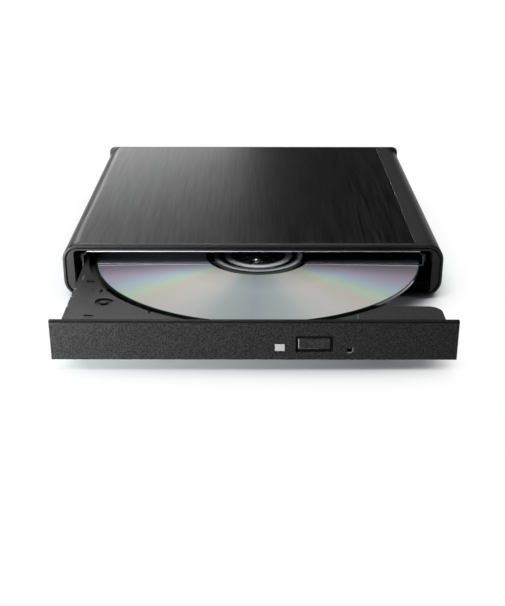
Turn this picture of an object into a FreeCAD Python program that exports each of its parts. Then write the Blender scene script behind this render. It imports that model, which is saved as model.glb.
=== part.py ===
"""Slim external disc drive, standing on its feet with the disc tray part way out.

Millimetres. +X is to the right seen from the front, +Y to the back, +Z up. The origin is on the table,
under the middle of the drive as it stands with its tray out.
"""
import FreeCAD, Part
import math
import os
from types import SimpleNamespace

import Sketcher
from FreeCAD import Vector

SIZES = {
    # outer case
    "case_side_room": 6.6,
    "case_end_room": 8.0,
    "lid_room": 4.05,
    "foot_height": 0.8,
    "foot_radius": 5.0,
    "case_wall": 2.2,
    "parting_height": 9.5,
    "top_edge_radius": 6.2,
    "bottom_edge_radius": 6.4,
    "ring_depth": 6.3,
    "slot_side_gap": 2.3,
    "slot_top_gap": 1.65,
    "slot_sill": 1.8,
    "slot_radius": 1.4,
    "lip_width": 1.0,
    "groove_width": 0.6,
    "groove_depth": 0.7,
    "spigot_wall": 1.0,
    "spigot_length": 3.0,
    "plate_thickness": 0.8,
    "plate_front_margin": 2.0,
    "plate_right_margin": 10.8,
    "plate_skirt": 9.0,
    "cap_depth": 3.0,
    "cap_wall": 1.6,
    "cap_top_radius": 2.6,
    "cap_round": 2.2,
    # metal drive housing inside the case
    "drive_side_room": 4.0,
    "drive_end_room": 7.0,
    "drive_floor": 4.85,
    "drive_height": 12.7,
    "drive_recess": 4.0,
    "sheet_metal": 0.5,
    "step_inset": 17.5,
    "shelf_height": 6.9,
    "cover_step": 1.0,
    "cover_band": 1.6,
    "cover_skirt": 3.0,
    # how far the tray stands out, and how far it can go
    "tray_out": 58.2,
    "travel_margin": 0.2,
    # disc and spindle
    "disc_radius": 60.0,
    "disc_bore": 7.5,
    "disc_thickness": 1.2,
    "disc_height": 15.0,
    "disc_offset": 1.9,
    "disc_front_gap": 4.8,
    "table_radius": 13.2,
    "ring_rubber": 0.5,
    "ring_rubber_width": 2.7,
    "hub_rise": 0.9,
    "shaft_radius": 1.5,
    "rotor_wall": 0.8,
    "magnet_gap": 0.9,
    # tray
    "deck_rise": 0.2,
    "well_gap": 2.8,
    "well_wall": 1.2,
    "well_drop": 0.9,
    "floor_thickness": 1.0,
    "tray_wall": 1.2,
    "tray_left_margin": 2.0,
    "tray_right_margin": 19.0,
    "tray_back_room": 7.2,
    "tray_underside": 6.1,
    "stub_depth": 15.5,
    "stub_right_margin": 1.4,
    "stub_height": 2.2,
    "stub_radius": 4.5,
    # front bezel and what it carries
    "bezel_overlap": 1.3,
    "bezel_offset": 0.45,
    "bezel_height": 13.6,
    "bezel_floor": 3.9,
    "bezel_thickness": 1.8,
    "bezel_edge": 0.35,
    "button_from_end": 45.95,
    "button_height": 9.65,
    "button_width": 10.4,
    "button_tall": 3.9,
    "button_travel": 0.8,
    "recess_margin": 0.85,
    "recess_depth": 0.5,
    "lens_from_end": 57.05,
    "lens_height": 8.3,
    "lens_width": 3.3,
    "lens_tall": 2.5,
    "pinhole_from_end": 34.65,
    "pinhole_height": 7.65,
    "pinhole_radius": 0.75,
    # slide rails
    "guide_web": 1.2,
    "guide_lip": 1.7,
    "guide_tall": 6.0,
    "guide_length": 84.0,
    "rail_web": 0.6,
    "rail_lip": 1.6,
    "rail_flange": 0.5,
    "guide_flange": 0.6,
    "rail_front_gap": 4.0,
    "rail_back_gap": 11.0,
    "tongue_lead": 2.0,
    # optical unit, laid out from the spindle along the way the lens travels
    "travel_angle": 225.0,
    "lens_inner": 23.0,
    "lens_edge": 2.0,
    "lens_radius": 2.0,
    "rod_radius": 1.0,
    "rod_offset": 18.0,
    "rod_height": 8.9,
    "screw_radius": 1.1,
    "screw_offset": 23.5,
    "motor_radius": 2.3,
    "chassis_sheet": 0.6,
    # rear electronics
    "board_thickness": 1.0,
    "usb_width": 7.7,
    "usb_height": 3.9,
    "usb_depth": 9.2,
    "bridge_length": 50.0,
    "jack_radius": 2.9,
    # small fixings and fittings
    "screw_shank": 1.0,
    "screw_head": 2.0,
    "screw_seat": 1.4,
    "rear_port_from_step": 41.0,
    "rear_port_width": 33.0,
    "cover_screw": 0.8,
    "partition_gap": 1.1,
    "plunger_from_wall": 23.5,
    "plunger_z": 9.0,
    "plunger_radius": 1.1,
    "plunger_stroke": 6.0,
    "clip_tall": 1.2,
    "damper_bore": 1.9,
    "latch_from_pinhole": 3.1,
    "pin_radius": 1.0,
    "pivot_from_pinhole": 5.0,
    "pivot_radius": 0.8,
    # clearances
    "fit_gap": 0.1,
    "slide_gap": 0.2,
    "shaft_gap": 0.05,
}


class Dim(float):
    """A size that remembers the sheet expression it comes from, so that sums of sizes stay tied."""

    def __new__(cls, value, text):
        dim = super().__new__(cls, value)
        dim.text = text
        return dim

    def __add__(self, other):
        return Dim(float(self) + float(other), f"({text_of(self)} + {text_of(other)})")

    def __radd__(self, other):
        return Dim(float(other) + float(self), f"({text_of(other)} + {text_of(self)})")

    def __sub__(self, other):
        return Dim(float(self) - float(other), f"({text_of(self)} - {text_of(other)})")

    def __rsub__(self, other):
        return Dim(float(other) - float(self), f"({text_of(other)} - {text_of(self)})")

    def __mul__(self, other):
        return Dim(float(self) * float(other), f"({text_of(self)} * {text_of(other)})")

    def __rmul__(self, other):
        return Dim(float(other) * float(self), f"({text_of(other)} * {text_of(self)})")

    def __truediv__(self, other):
        return Dim(float(self) / float(other), f"({text_of(self)} / {text_of(other)})")

    def __neg__(self):
        return Dim(-float(self), f"(0 - {text_of(self)})")


def text_of(value):
    """The sheet expression of a size, or a bare number as text."""
    return value.text if isinstance(value, Dim) else f"({float(value)})"


doc = FreeCAD.newDocument("external_disc_drive")
sheet = doc.addObject("Spreadsheet::Sheet", "Sizes")
for row, (alias, value) in enumerate(SIZES.items(), start=1):
    sheet.set(f"A{row}", alias)
    sheet.set(f"B{row}", str(value))
    sheet.setAlias(f"B{row}", alias)
doc.recompute()
s = SimpleNamespace(**{alias: Dim(value, f"Sizes.{alias}") for alias, value in SIZES.items()})


def bind(thing, prop, size):
    """Tie a property of a document object to a size."""
    thing.setExpression(prop, text_of(size))


def origin(body, role):
    """One of a body's own origin planes or axes."""
    return next(item for item in body.Origin.OriginFeatures if item.Role == role)


def make_body(name, across=0, along=0, turn=None):
    """A named body, moved across and along the table and turned about its own Z."""
    body = doc.addObject("PartDesign::Body", name)
    body.Label = name
    bind(body, "Placement.Base.x", across)
    bind(body, "Placement.Base.y", along)
    if turn is not None:
        bind(body, "Placement.Rotation.Axis.z", 1)
        bind(body, "Placement.Rotation.Angle", turn)
    return body


def tie(drawing, kind, size, *where):
    """Add a dimension to a sketch and tie it to a size."""
    index = drawing.addConstraint(Sketcher.Constraint(kind, *where, float(size)))
    drawing.setExpression(f"Constraints[{index}]", text_of(size))


def pin(drawing, geometry, point, x, y):
    """Hold a point of a sketch at a distance from the sketch's origin."""
    tie(drawing, "DistanceX", x, -1, 1, geometry, point)
    tie(drawing, "DistanceY", y, -1, 1, geometry, point)


def draw(drawing, outline):
    """Draw a circle (x, y, radius), or a closed list of corners (x, y) or (x, y, corner radius)."""
    if isinstance(outline, tuple):
        x, y, radius = outline
        ring = drawing.addGeometry(Part.Circle(Vector(x, y, 0), Vector(0, 0, 1), radius))
        pin(drawing, ring, 3, x, y)
        tie(drawing, "Radius", radius, ring)
        return
    count = len(outline)
    corners = [Vector(corner[0], corner[1], 0) for corner in outline]
    radii = [corner[2] if len(corner) == 3 else None for corner in outline]
    halves = []
    for k in range(count):
        before = corners[k - 1] - corners[k]
        after = corners[(k + 1) % count] - corners[k]
        halves.append(before.getAngle(after) / 2)
    reach = [0 if radii[k] is None else radii[k] / math.tan(halves[k]) for k in range(count)]
    first = drawing.GeometryCount
    for k in range(count):
        following = (k + 1) % count
        way = (corners[following] - corners[k]).normalize()
        start = corners[k] + way * float(reach[k])
        end = corners[following] - way * float(reach[following])
        drawing.addGeometry(Part.LineSegment(start, end))
    for k in range(count):
        before = first + (k - 1) % count
        after = first + k
        x, y = outline[k][0], outline[k][1]
        if radii[k] is None:
            drawing.addConstraint(Sketcher.Constraint("Coincident", before, 2, after, 1))
            pin(drawing, after, 1, x, y)
            continue
        in_way = (corners[k] - corners[k - 1]).normalize()
        out_way = (corners[(k + 1) % count] - corners[k]).normalize()
        centre = corners[k] + (out_way - in_way).normalize() * (radii[k] / math.sin(halves[k]))
        touch_in = corners[k] - in_way * float(reach[k]) - centre
        touch_out = corners[k] + out_way * float(reach[k]) - centre
        left_turn = in_way.cross(out_way).z > 0
        from_end, to_end = (touch_in, touch_out) if left_turn else (touch_out, touch_in)
        from_angle = math.atan2(from_end.y, from_end.x)
        to_angle = math.atan2(to_end.y, to_end.x)
        if to_angle < from_angle:
            to_angle += 2 * math.pi
        circle = Part.Circle(centre, Vector(0, 0, 1), radii[k])
        arc = drawing.addGeometry(Part.ArcOfCircle(circle, from_angle, to_angle))
        at_in, at_out = (1, 2) if left_turn else (2, 1)
        drawing.addConstraint(Sketcher.Constraint("Tangent", before, 2, arc, at_in))
        drawing.addConstraint(Sketcher.Constraint("Tangent", arc, at_out, after, 1))
        tie(drawing, "Radius", radii[k], arc)
        mark = drawing.addGeometry(Part.Point(corners[k]), True)
        drawing.addConstraint(Sketcher.Constraint("PointOnObject", mark, 1, before))
        drawing.addConstraint(Sketcher.Constraint("PointOnObject", mark, 1, after))
        pin(drawing, mark, 1, x, y)


def sketch(body, name, plane, lift, outlines):
    """A sketch on a body's origin plane, lifted along the plane's normal."""
    drawing = body.newObject("Sketcher::SketchObject", name + "_outline")
    drawing.AttachmentSupport = [(origin(body, plane + "_Plane"), "")]
    drawing.MapMode = "FlatFace"
    bind(drawing, "AttachmentOffset.Base.z", lift)
    for outline in outlines:
        draw(drawing, outline)
    return drawing


def extrude(body, name, plane, low, high, *outlines, cut=False):
    """Pad or pocket outlines between two places along Z (plane XY), Y (XZ) or X (YZ)."""
    if plane == "XZ":
        lift = -low if cut else -high
    else:
        lift = high if cut else low
    drawing = sketch(body, name, plane, lift, outlines)
    feature = body.newObject("PartDesign::Pocket" if cut else "PartDesign::Pad", name)
    feature.Profile = drawing
    bind(feature, "Length", high - low)
    return feature


def cut_out(body, name, plane, low, high, *outlines):
    """Pocket outlines between two places."""
    return extrude(body, name, plane, low, high, *outlines, cut=True)


def turned(body, name, outline, cut=False):
    """Turn an outline of (radius, height) corners about the body's Z axis."""
    drawing = sketch(body, name, "XZ", 0, [outline])
    feature = body.newObject("PartDesign::Groove" if cut else "PartDesign::Revolution", name)
    feature.Profile = drawing
    feature.ReferenceAxis = (origin(body, "Z_Axis"), [""])
    feature.Angle = 360
    return feature


def around(body, name, feature, count):
    """Repeat a feature around the body's Z axis."""
    pattern = body.newObject("PartDesign::PolarPattern", name)
    pattern.Originals = [feature]
    pattern.Axis = (origin(body, "Z_Axis"), [""])
    pattern.Angle = 360
    pattern.Occurrences = count
    body.Tip = pattern
    return pattern


def repeat(body, name, feature, role, length, count):
    """Repeat a feature along one of the body's axes."""
    pattern = body.newObject("PartDesign::LinearPattern", name)
    pattern.Originals = [feature]
    pattern.Direction = (origin(body, role), [""])
    bind(pattern, "Length", length)
    pattern.Occurrences = count
    body.Tip = pattern
    return pattern


def soften(body, name, radius, chosen, kind="PartDesign::Fillet"):
    """Round or bevel the edges of the body so far that chosen picks out."""
    doc.recompute()
    base = body.Tip
    edges = [f"Edge{n}" for n, edge in enumerate(base.Shape.Edges, start=1) if chosen(edge)]
    feature = body.newObject(kind, name)
    feature.Base = (base, edges)
    bind(feature, "Radius" if kind.endswith("Fillet") else "Size", radius)
    return feature


def box(x0, x1, y0, y1, radius=None):
    """Corners of a rectangle, rounded where a radius is given."""
    corners = [(x0, y0), (x1, y0), (x1, y1), (x0, y1)]
    return corners if radius is None else [(x, y, radius) for x, y in corners]


def many_sided(x, y, reach, sides=12):
    """Corners of a many-sided outline round a place, for small posts and lugs."""
    turns = [2 * math.pi * (k + 0.5) / sides for k in range(sides)]
    return [(x + reach * math.cos(turn), y + reach * math.sin(turn)) for turn in turns]


def screw_hole(x, y, radius, sides=12):
    """A many-sided hole that clears a round pin, for screws, posts and release pins."""
    return many_sided(x, y, radius / math.cos(math.pi / sides), sides)


def cylinder(name, x, y, z, radius, height):
    """A round pin standing on z."""
    item = doc.addObject("Part::Cylinder", name)
    bind(item, "Radius", radius)
    bind(item, "Height", height)
    bind(item, "Placement.Base.x", x)
    bind(item, "Placement.Base.y", y)
    bind(item, "Placement.Base.z", z)
    return item


def prism(name, x, y, z, radius, height, sides=8):
    """A many-sided pin standing on z, for the shanks and heads of small screws."""
    item = doc.addObject("Part::Prism", name)
    item.Polygon = sides
    bind(item, "Circumradius", radius)
    bind(item, "Height", height)
    bind(item, "Placement.Base.x", x)
    bind(item, "Placement.Base.y", y)
    bind(item, "Placement.Base.z", z)
    return item


def group(name, items):
    """Join like pieces, which stay separate solids, or the parts of one turned piece."""
    fuse = doc.addObject("Part::MultiFuse", name)
    fuse.Shapes = items
    fuse.Label = name
    return fuse


# Places worked out from the sizes. Case places are from the middle of the case, tray places from where
# the tray lies when it is shut, so a placement alone slides a piece out.
drive_width = 2 * (s.disc_radius + s.drive_side_room)
drive_length = 2 * s.disc_radius + s.drive_end_room
case_width = drive_width + 2 * s.case_side_room
case_length = s.drive_recess + drive_length + s.case_end_room
drive_top = s.drive_floor + s.drive_height
case_shift = s.tray_out / 2
tray_shift = -s.tray_out / 2
half_case = case_width / 2
case_front = -case_length / 2
case_back = case_length / 2
case_bottom = s.foot_height
case_top = drive_top + s.lid_room
shell_front = case_front + s.ring_depth
shell_back = case_back - s.cap_depth
parting = case_bottom + s.parting_height
room_floor = case_bottom + s.case_wall
room_ceiling = case_top - s.case_wall

half_drive = drive_width / 2
drive_front = case_front + s.drive_recess
drive_back = drive_front + drive_length
pan_floor = s.drive_floor + s.sheet_metal
step_x = half_drive - s.step_inset
shelf_z = s.drive_floor + s.shelf_height
pan_left = -half_drive + s.sheet_metal
pan_step = step_x - s.sheet_metal
pan_right = half_drive - s.sheet_metal

bezel_back = case_front + s.bezel_thickness
disc_x = s.disc_offset
disc_y = case_front + s.disc_front_gap + s.disc_radius
well_radius = s.disc_radius + s.well_gap
disc_under = s.disc_height - s.disc_thickness
deck = s.disc_height + s.deck_rise
well_floor = disc_under - s.well_drop
floor_under = well_floor - s.floor_thickness
tray_left = -half_drive + s.tray_left_margin
tray_right = half_drive - s.tray_right_margin
tray_back = drive_back - s.tray_back_room
stub_right = half_drive - s.stub_right_margin
stub_back = bezel_back + s.stub_depth

guide_low = pan_floor
rail_low = guide_low + s.guide_flange + s.slide_gap
rail_high = guide_low + s.guide_tall - s.guide_flange - s.slide_gap
tongue_low = rail_low + s.rail_flange + s.slide_gap
tongue_high = rail_high - s.rail_flange - s.slide_gap
guide_reach = s.guide_web + s.guide_lip
rail_start = s.guide_web + s.slide_gap
rail_reach = rail_start + s.rail_web + s.rail_lip
tongue_start = rail_start + s.rail_web + s.slide_gap
tongue_reach = rail_reach + 4 * s.slide_gap + s.rail_web
rail_front = drive_front + s.rail_front_gap
rail_back = drive_back - s.rail_back_gap
tongue_front = rail_front + s.tongue_lead

bezel_right = s.bezel_offset + half_drive + s.bezel_overlap
button_x = bezel_right - s.button_from_end
lens_x = bezel_right - s.lens_from_end
pinhole_x = bezel_right - s.pinhole_from_end
partition_x = button_x + s.button_width / 2 + s.partition_gap
latch_x = pinhole_x + s.latch_from_pinhole
pivot_x = pinhole_x + s.pivot_from_pinhole
plunger_x = pan_left + s.plunger_from_wall
port_left = pan_step - s.rear_port_from_step
port_right = port_left + s.rear_port_width
lens_outer = s.disc_radius - s.lens_edge


def case_outline(inset):
    """Cross-section of the case, moved in from its outer face."""
    side = half_case - inset
    low = case_bottom + inset
    high = case_top - inset
    low_radius = s.bottom_edge_radius - inset
    high_radius = s.top_edge_radius - inset
    return [
        (-side, low, low_radius),
        (side, low, low_radius),
        (side, high, high_radius),
        (-side, high, high_radius),
    ]


def plate_outline(gap):
    """Cross-section of the top plate, or with a gap that of the recess it is glued into."""
    right = half_case - s.plate_right_margin + gap
    skirt = case_top - s.plate_skirt - gap
    inner_radius = s.top_edge_radius - s.plate_thickness
    return [
        (right, case_top),
        (-half_case, case_top, s.top_edge_radius),
        (-half_case, skirt),
        (-half_case + s.plate_thickness, skirt),
        (-half_case + s.plate_thickness, case_top - s.plate_thickness, inner_radius),
        (right, case_top - s.plate_thickness),
    ]


def plate_recess(gap):
    """Cross-section of what is cut from a shell for the top plate."""
    right = half_case - s.plate_right_margin + gap
    skirt = case_top - s.plate_skirt - gap
    inner_radius = s.top_edge_radius - s.plate_thickness
    beyond = s.case_wall
    return [
        (right, case_top + beyond),
        (-half_case - beyond, case_top + beyond),
        (-half_case - beyond, skirt),
        (-half_case + s.plate_thickness, skirt),
        (-half_case + s.plate_thickness, case_top - s.plate_thickness, inner_radius),
        (right, case_top - s.plate_thickness),
    ]


def bottom_shell():
    """Lower half of the moulded case, a tub with ribs that carry the drive."""
    body = make_body("bottom_shell", along=case_shift)
    extrude(body, "tub", "XZ", shell_front, shell_back, case_outline(0), case_outline(s.case_wall))
    upper = box(-half_case, half_case, parting, case_top)
    cut_out(body, "upper_half", "XZ", shell_front, shell_back, upper)
    rib = 1.6
    rib_front = shell_front + s.spigot_length + 0.5
    for name, x in (("left_rib", -half_drive + 18), ("middle_rib", 0.0), ("right_rib", step_x - 8.5)):
        outline = box(x - rib, x + rib, rib_front, drive_back - 3)
        extrude(body, name, "XY", room_floor, s.drive_floor, outline)
    wall = half_case - s.case_wall
    stop = half_drive + s.sheet_metal + s.fit_gap
    for name, y in (("front_stops", case_front + 19.5), ("rear_stops", case_back - 23.5)):
        sides = [box(stop, wall, y, y + rib), box(-wall, -stop, y, y + rib)]
        extrude(body, name, "XY", s.drive_floor + 1, parting - 1, *sides)
    for k, (x, y) in enumerate(drive_screw_places()):
        extrude(body, f"boss_{k}", "XY", room_floor, s.drive_floor, box(x - 3, x + 3, y - 3, y + 3))
    for k, (x, y) in enumerate(board_post_places()):
        extrude(body, f"post_{k}", "XY", room_floor, bridge_floor, box(x - 2, x + 2, y - 2, y + 2))
    holes = [screw_hole(x, y, s.screw_shank + s.fit_gap) for x, y in drive_screw_places()]
    cut_out(body, "screw_holes", "XY", case_bottom, s.drive_floor, *holes)
    heads = [screw_hole(x, y, s.screw_head + s.fit_gap) for x, y in drive_screw_places()]
    cut_out(body, "screw_seats", "XY", case_bottom, case_bottom + s.screw_seat, *heads)
    return body


bridge_floor = room_floor + 1.5
bridge_front = shell_back - s.bridge_length


def drive_screw_places():
    """Where the four screws hold the drive down to the bottom shell."""
    return [(x, y) for x in (-half_drive + 12, step_x - 13.5) for y in (drive_front + 22, drive_back - 14)]


def board_post_places():
    """Where the bridge board stands on the bottom shell."""
    return [
        (step_x + 5, bridge_front + 5),
        (half_case - s.case_wall - 5, bridge_front + 5),
        (half_case - s.case_wall - 5, shell_back - 14),
    ]


def top_shell():
    """Upper half of the moulded case, stepped down under the metal plate."""
    body = make_body("top_shell", along=case_shift)
    extrude(body, "hood", "XZ", shell_front, shell_back, case_outline(0), case_outline(s.case_wall))
    lower = box(-half_case, half_case, case_bottom, parting)
    cut_out(body, "lower_half", "XZ", shell_front, shell_back, lower)
    cut_out(body, "plate_bed", "XZ", shell_front, shell_back, plate_recess(s.fit_gap))
    rib = 1.2
    for name, x in (("left_rib", -half_drive + 24), ("right_rib", half_drive - 24)):
        outline = box(x - rib, x + rib, drive_front + 6, drive_back - 6)
        extrude(body, name, "XY", drive_top, room_ceiling, outline)
    return body


def top_plate():
    """Brushed metal plate that lies on the case and folds over its left edge."""
    body = make_body("top_plate", along=case_shift)
    front = case_front + s.plate_front_margin
    extrude(body, "plate", "XZ", front, shell_back, plate_outline(0))
    return body


def front_ring():
    """Moulded frame round the tray slot, with a rim line in its face and a spigot that plugs the shells."""
    body = make_body("front_ring", along=case_shift)
    half_slot = half_drive + s.slot_side_gap
    slot_low = case_bottom + s.slot_sill
    slot = box(-half_slot, half_slot, slot_low, drive_top + s.slot_top_gap, s.slot_radius)
    extrude(body, "frame", "XZ", case_front, shell_front, case_outline(0), slot)
    spigot = s.case_wall + s.fit_gap
    spigot_back = shell_front + s.spigot_length
    extrude(
        body, "spigot", "XZ", shell_front, spigot_back,
        case_outline(spigot), case_outline(spigot + s.spigot_wall),
    )
    rim = s.lip_width + s.groove_width
    cut_out(
        body, "rim_line", "XZ", case_front, case_front + s.groove_depth,
        case_outline(s.lip_width), case_outline(rim),
    )
    plate_front = case_front + s.plate_front_margin - s.fit_gap
    cut_out(body, "plate_bed", "XZ", plate_front, shell_front, plate_recess(s.fit_gap))

    def front_rim(edge):
        reach = edge.BoundBox
        at_front = abs(reach.YMin - case_front) < 0.01 and abs(reach.YMax - case_front) < 0.01
        outer = reach.XMin < -half_case + 0.01 or reach.XMax > half_case - 0.01
        level = reach.ZMax > case_top - 0.01 or reach.ZMin < case_bottom + 0.01
        return at_front and (outer or level)

    soften(body, "front_rim", s.lip_width * 0.45, front_rim, "PartDesign::Chamfer")
    return body


def rear_cap():
    """Moulded cap that closes the back, with holes for the sockets."""
    body = make_body("rear_cap", along=case_shift)
    low_radius = s.bottom_edge_radius
    high_radius = s.cap_top_radius
    outline = [
        (-half_case, case_bottom, low_radius),
        (half_case, case_bottom, low_radius),
        (half_case, case_top, high_radius),
        (-half_case, case_top, high_radius),
    ]
    extrude(body, "cap", "XZ", shell_back, case_back, outline)
    cut_out(body, "hollow", "XZ", shell_back, case_back - s.cap_wall, case_outline(s.case_wall))
    spigot = s.case_wall + s.fit_gap
    extrude(
        body, "spigot", "XZ", shell_back - s.spigot_length, shell_back,
        case_outline(spigot), case_outline(spigot + s.spigot_wall),
    )
    inner_back = case_back - s.cap_wall
    extrude(
        body, "spigot_root", "XZ", shell_back, inner_back,
        case_outline(s.case_wall), case_outline(spigot + s.spigot_wall),
    )

    def back_rim(edge):
        reach = edge.BoundBox
        return reach.YMin > case_back - 0.01

    soften(body, "back_rim", s.cap_round, back_rim, "PartDesign::Chamfer")
    gap = s.fit_gap
    half_usb = s.usb_width / 2 + gap
    usb = box(usb_x - half_usb, usb_x + half_usb, usb_floor - gap, usb_floor + s.usb_height + gap)
    jack = (jack_x, jack_z, s.jack_radius + gap)
    cut_out(body, "socket_holes", "XZ", inner_back - s.spigot_length, case_back, usb, jack)
    return body


usb_floor = bridge_floor + s.board_thickness
usb_x = half_case - s.case_wall - 14.5
jack_x = half_case - s.case_wall - 5.2
jack_z = usb_floor + s.jack_radius + 0.4


def rubber_feet():
    """Four round rubber pads under the corners."""
    feet = []
    for k, (side, end) in enumerate(((-1, -1), (1, -1), (1, 1), (-1, 1))):
        x = side * (half_case - s.bottom_edge_radius - s.foot_radius - 2)
        y = case_shift + end * (case_back - s.foot_radius - 9)
        feet.append(cylinder(f"foot_{k}", x, y, 0, s.foot_radius, s.foot_height))
    return group("rubber_feet", feet)


def case_screws():
    """Four pan-head screws that hold the drive down on its bosses."""
    pieces = []
    for k, (x, y) in enumerate(drive_screw_places()):
        top = case_bottom + s.screw_seat
        here = case_shift + y
        pieces.append(prism(f"case_screw_head_{k}", x, here, top - 0.9, s.screw_head, 0.9, 16))
        pieces.append(prism(f"case_screw_shank_{k}", x, here, top, s.screw_shank, pan_floor - top))
    return group("case_screws", pieces)


def drive_pan():
    """Stamped steel pan of the drive, stepped up on the right where only the disc overhangs."""
    body = make_body("drive_pan", along=case_shift)
    rim = drive_top - s.sheet_metal - s.cover_step - s.fit_gap
    metal = s.sheet_metal
    section = [
        (-half_drive, rim),
        (-half_drive, s.drive_floor, metal * 1.5),
        (step_x, s.drive_floor, metal * 1.5),
        (step_x, shelf_z),
        (half_drive, shelf_z, metal * 1.5),
        (half_drive, rim),
        (pan_right, rim),
        (pan_right, shelf_z + metal),
        (pan_step, shelf_z + metal, metal * 1.5),
        (pan_step, pan_floor),
        (pan_left, pan_floor),
        (pan_left, rim),
    ]
    extrude(body, "pan", "XZ", drive_front, drive_back, section)
    crown = drive_top - metal
    back = [
        (pan_left, pan_floor),
        (pan_step, pan_floor),
        (pan_step, shelf_z + metal),
        (pan_right, shelf_z + metal),
        (pan_right, rim),
        (pan_right - 2, rim),
        (pan_right - 2, crown),
        (pan_left + 2, crown),
        (pan_left + 2, rim),
        (pan_left, rim),
    ]
    extrude(body, "back_wall", "XZ", drive_back - metal, drive_back, back)
    port = box(port_left - 0.3, port_right + 0.3, board_top, board_top + 5.2)
    cut_out(body, "port_hole", "XZ", drive_back - metal, drive_back, port)
    tab = 3.0
    for name, x in (("left_tab", -cover_screw_x), ("right_tab", cover_screw_x)):
        outline = box(x - tab, x + tab, drive_back - 8, drive_back - metal)
        extrude(body, name, "XY", crown - metal, crown, outline)
    tab_screws = [screw_hole(x, y, s.cover_screw + s.fit_gap) for x, y in cover_screw_places()]
    cut_out(body, "tab_holes", "XY", crown - metal, crown, *tab_screws)
    holes = [screw_hole(x, y, s.screw_shank + s.fit_gap) for x, y in drive_screw_places()]
    cut_out(body, "floor_holes", "XY", s.drive_floor, pan_floor, *holes)
    return body


board_low = pan_floor + 0.25
board_top = board_low + s.board_thickness
cover_screw_x = half_drive - 8


def cover_screw_places():
    """Where the two screws hold the cover on the pan's rear tabs."""
    return [(-cover_screw_x, drive_back - 4), (cover_screw_x, drive_back - 4)]


def drive_cover():
    """Stamped steel cover of the drive, with a low band down each side."""
    body = make_body("drive_cover", along=case_shift)
    metal = s.sheet_metal
    band = drive_top - s.cover_step
    low = band - s.cover_skirt
    side = half_drive + metal + s.fit_gap / 2
    crown = side - s.cover_band
    bend = s.cover_step * 0.6
    section = [
        (-side, low),
        (-side + metal, low),
        (-side + metal, band - metal),
        (-crown + metal * 0.5, band - metal),
        (-crown + metal * 0.5 + bend, drive_top - metal),
        (crown - metal * 0.5 - bend, drive_top - metal),
        (crown - metal * 0.5, band - metal),
        (side - metal, band - metal),
        (side - metal, low),
        (side, low),
        (side, band, metal),
        (crown, band),
        (crown - bend, drive_top),
        (-crown + bend, drive_top),
        (-crown, band),
        (-side, band, metal),
    ]
    extrude(body, "cover", "XZ", drive_front, drive_back, section)
    holes = [screw_hole(x, y, s.cover_screw + s.fit_gap) for x, y in cover_screw_places()]
    cut_out(body, "cover_holes", "XY", drive_top - metal, drive_top, *holes)
    return body


def drive_screws():
    """Two small screws in the cover's rear corners."""
    pieces = []
    head = 0.5
    for k, (x, y) in enumerate(cover_screw_places()):
        here = case_shift + y
        low = drive_top - s.sheet_metal * 2
        pieces.append(prism(f"drive_screw_head_{k}", x, here, drive_top, s.cover_screw * 1.9, head, 12))
        pieces.append(prism(f"drive_screw_shank_{k}", x, here, low, s.cover_screw, drive_top - low))
    return group("drive_screws", pieces)


def channel(wall, way, start, web, reach, low, high, flange):
    """Section of a channel whose web lies along a wall and which opens away from it."""
    back = wall + way * start
    web_face = wall + way * (start + web)
    tip = wall + way * reach
    return [
        (back, low),
        (tip, low),
        (tip, low + flange),
        (web_face, low + flange),
        (web_face, high - flange),
        (tip, high - flange),
        (tip, high),
        (back, high),
    ]


RAIL_SIDES = {"left": (pan_left, 1), "right": (pan_step, -1)}


def rail_guide(side):
    """Plastic channel fixed to the pan, in which a slide rail runs."""
    wall, way = RAIL_SIDES[side]
    body = make_body(f"{side}_rail_guide", along=case_shift)
    section = channel(
        wall, way, 0, s.guide_web, guide_reach, guide_low, guide_low + s.guide_tall, s.guide_flange,
    )
    extrude(body, "guide", "XZ", drive_front + 1, drive_front + 1 + s.guide_length, section)
    return body


def slide_rail(side):
    """Steel rail between guide and tray, which comes out half as far as the tray."""
    wall, way = RAIL_SIDES[side]
    body = make_body(f"{side}_slide_rail", along=0)
    section = channel(wall, way, rail_start, s.rail_web, rail_reach, rail_low, rail_high, s.rail_flange)
    extrude(body, "rail", "XZ", rail_front, rail_back, section)
    web_low = wall + way * rail_start
    web_high = wall + way * (rail_start + s.rail_web)
    slot_low = rail_low + 1.6
    slot_high = rail_high - 1.6
    x0, x1 = (web_low, web_high) if way > 0 else (web_high, web_low)
    slot = box(rail_front + 6, rail_front + 14, slot_low, slot_high)
    lightening = cut_out(body, "lightening_slot", "YZ", x0, x1, slot)
    repeat(body, "lightening_slots", lightening, "Y_Axis", rail_back - rail_front - 22, 5)
    return body


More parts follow.
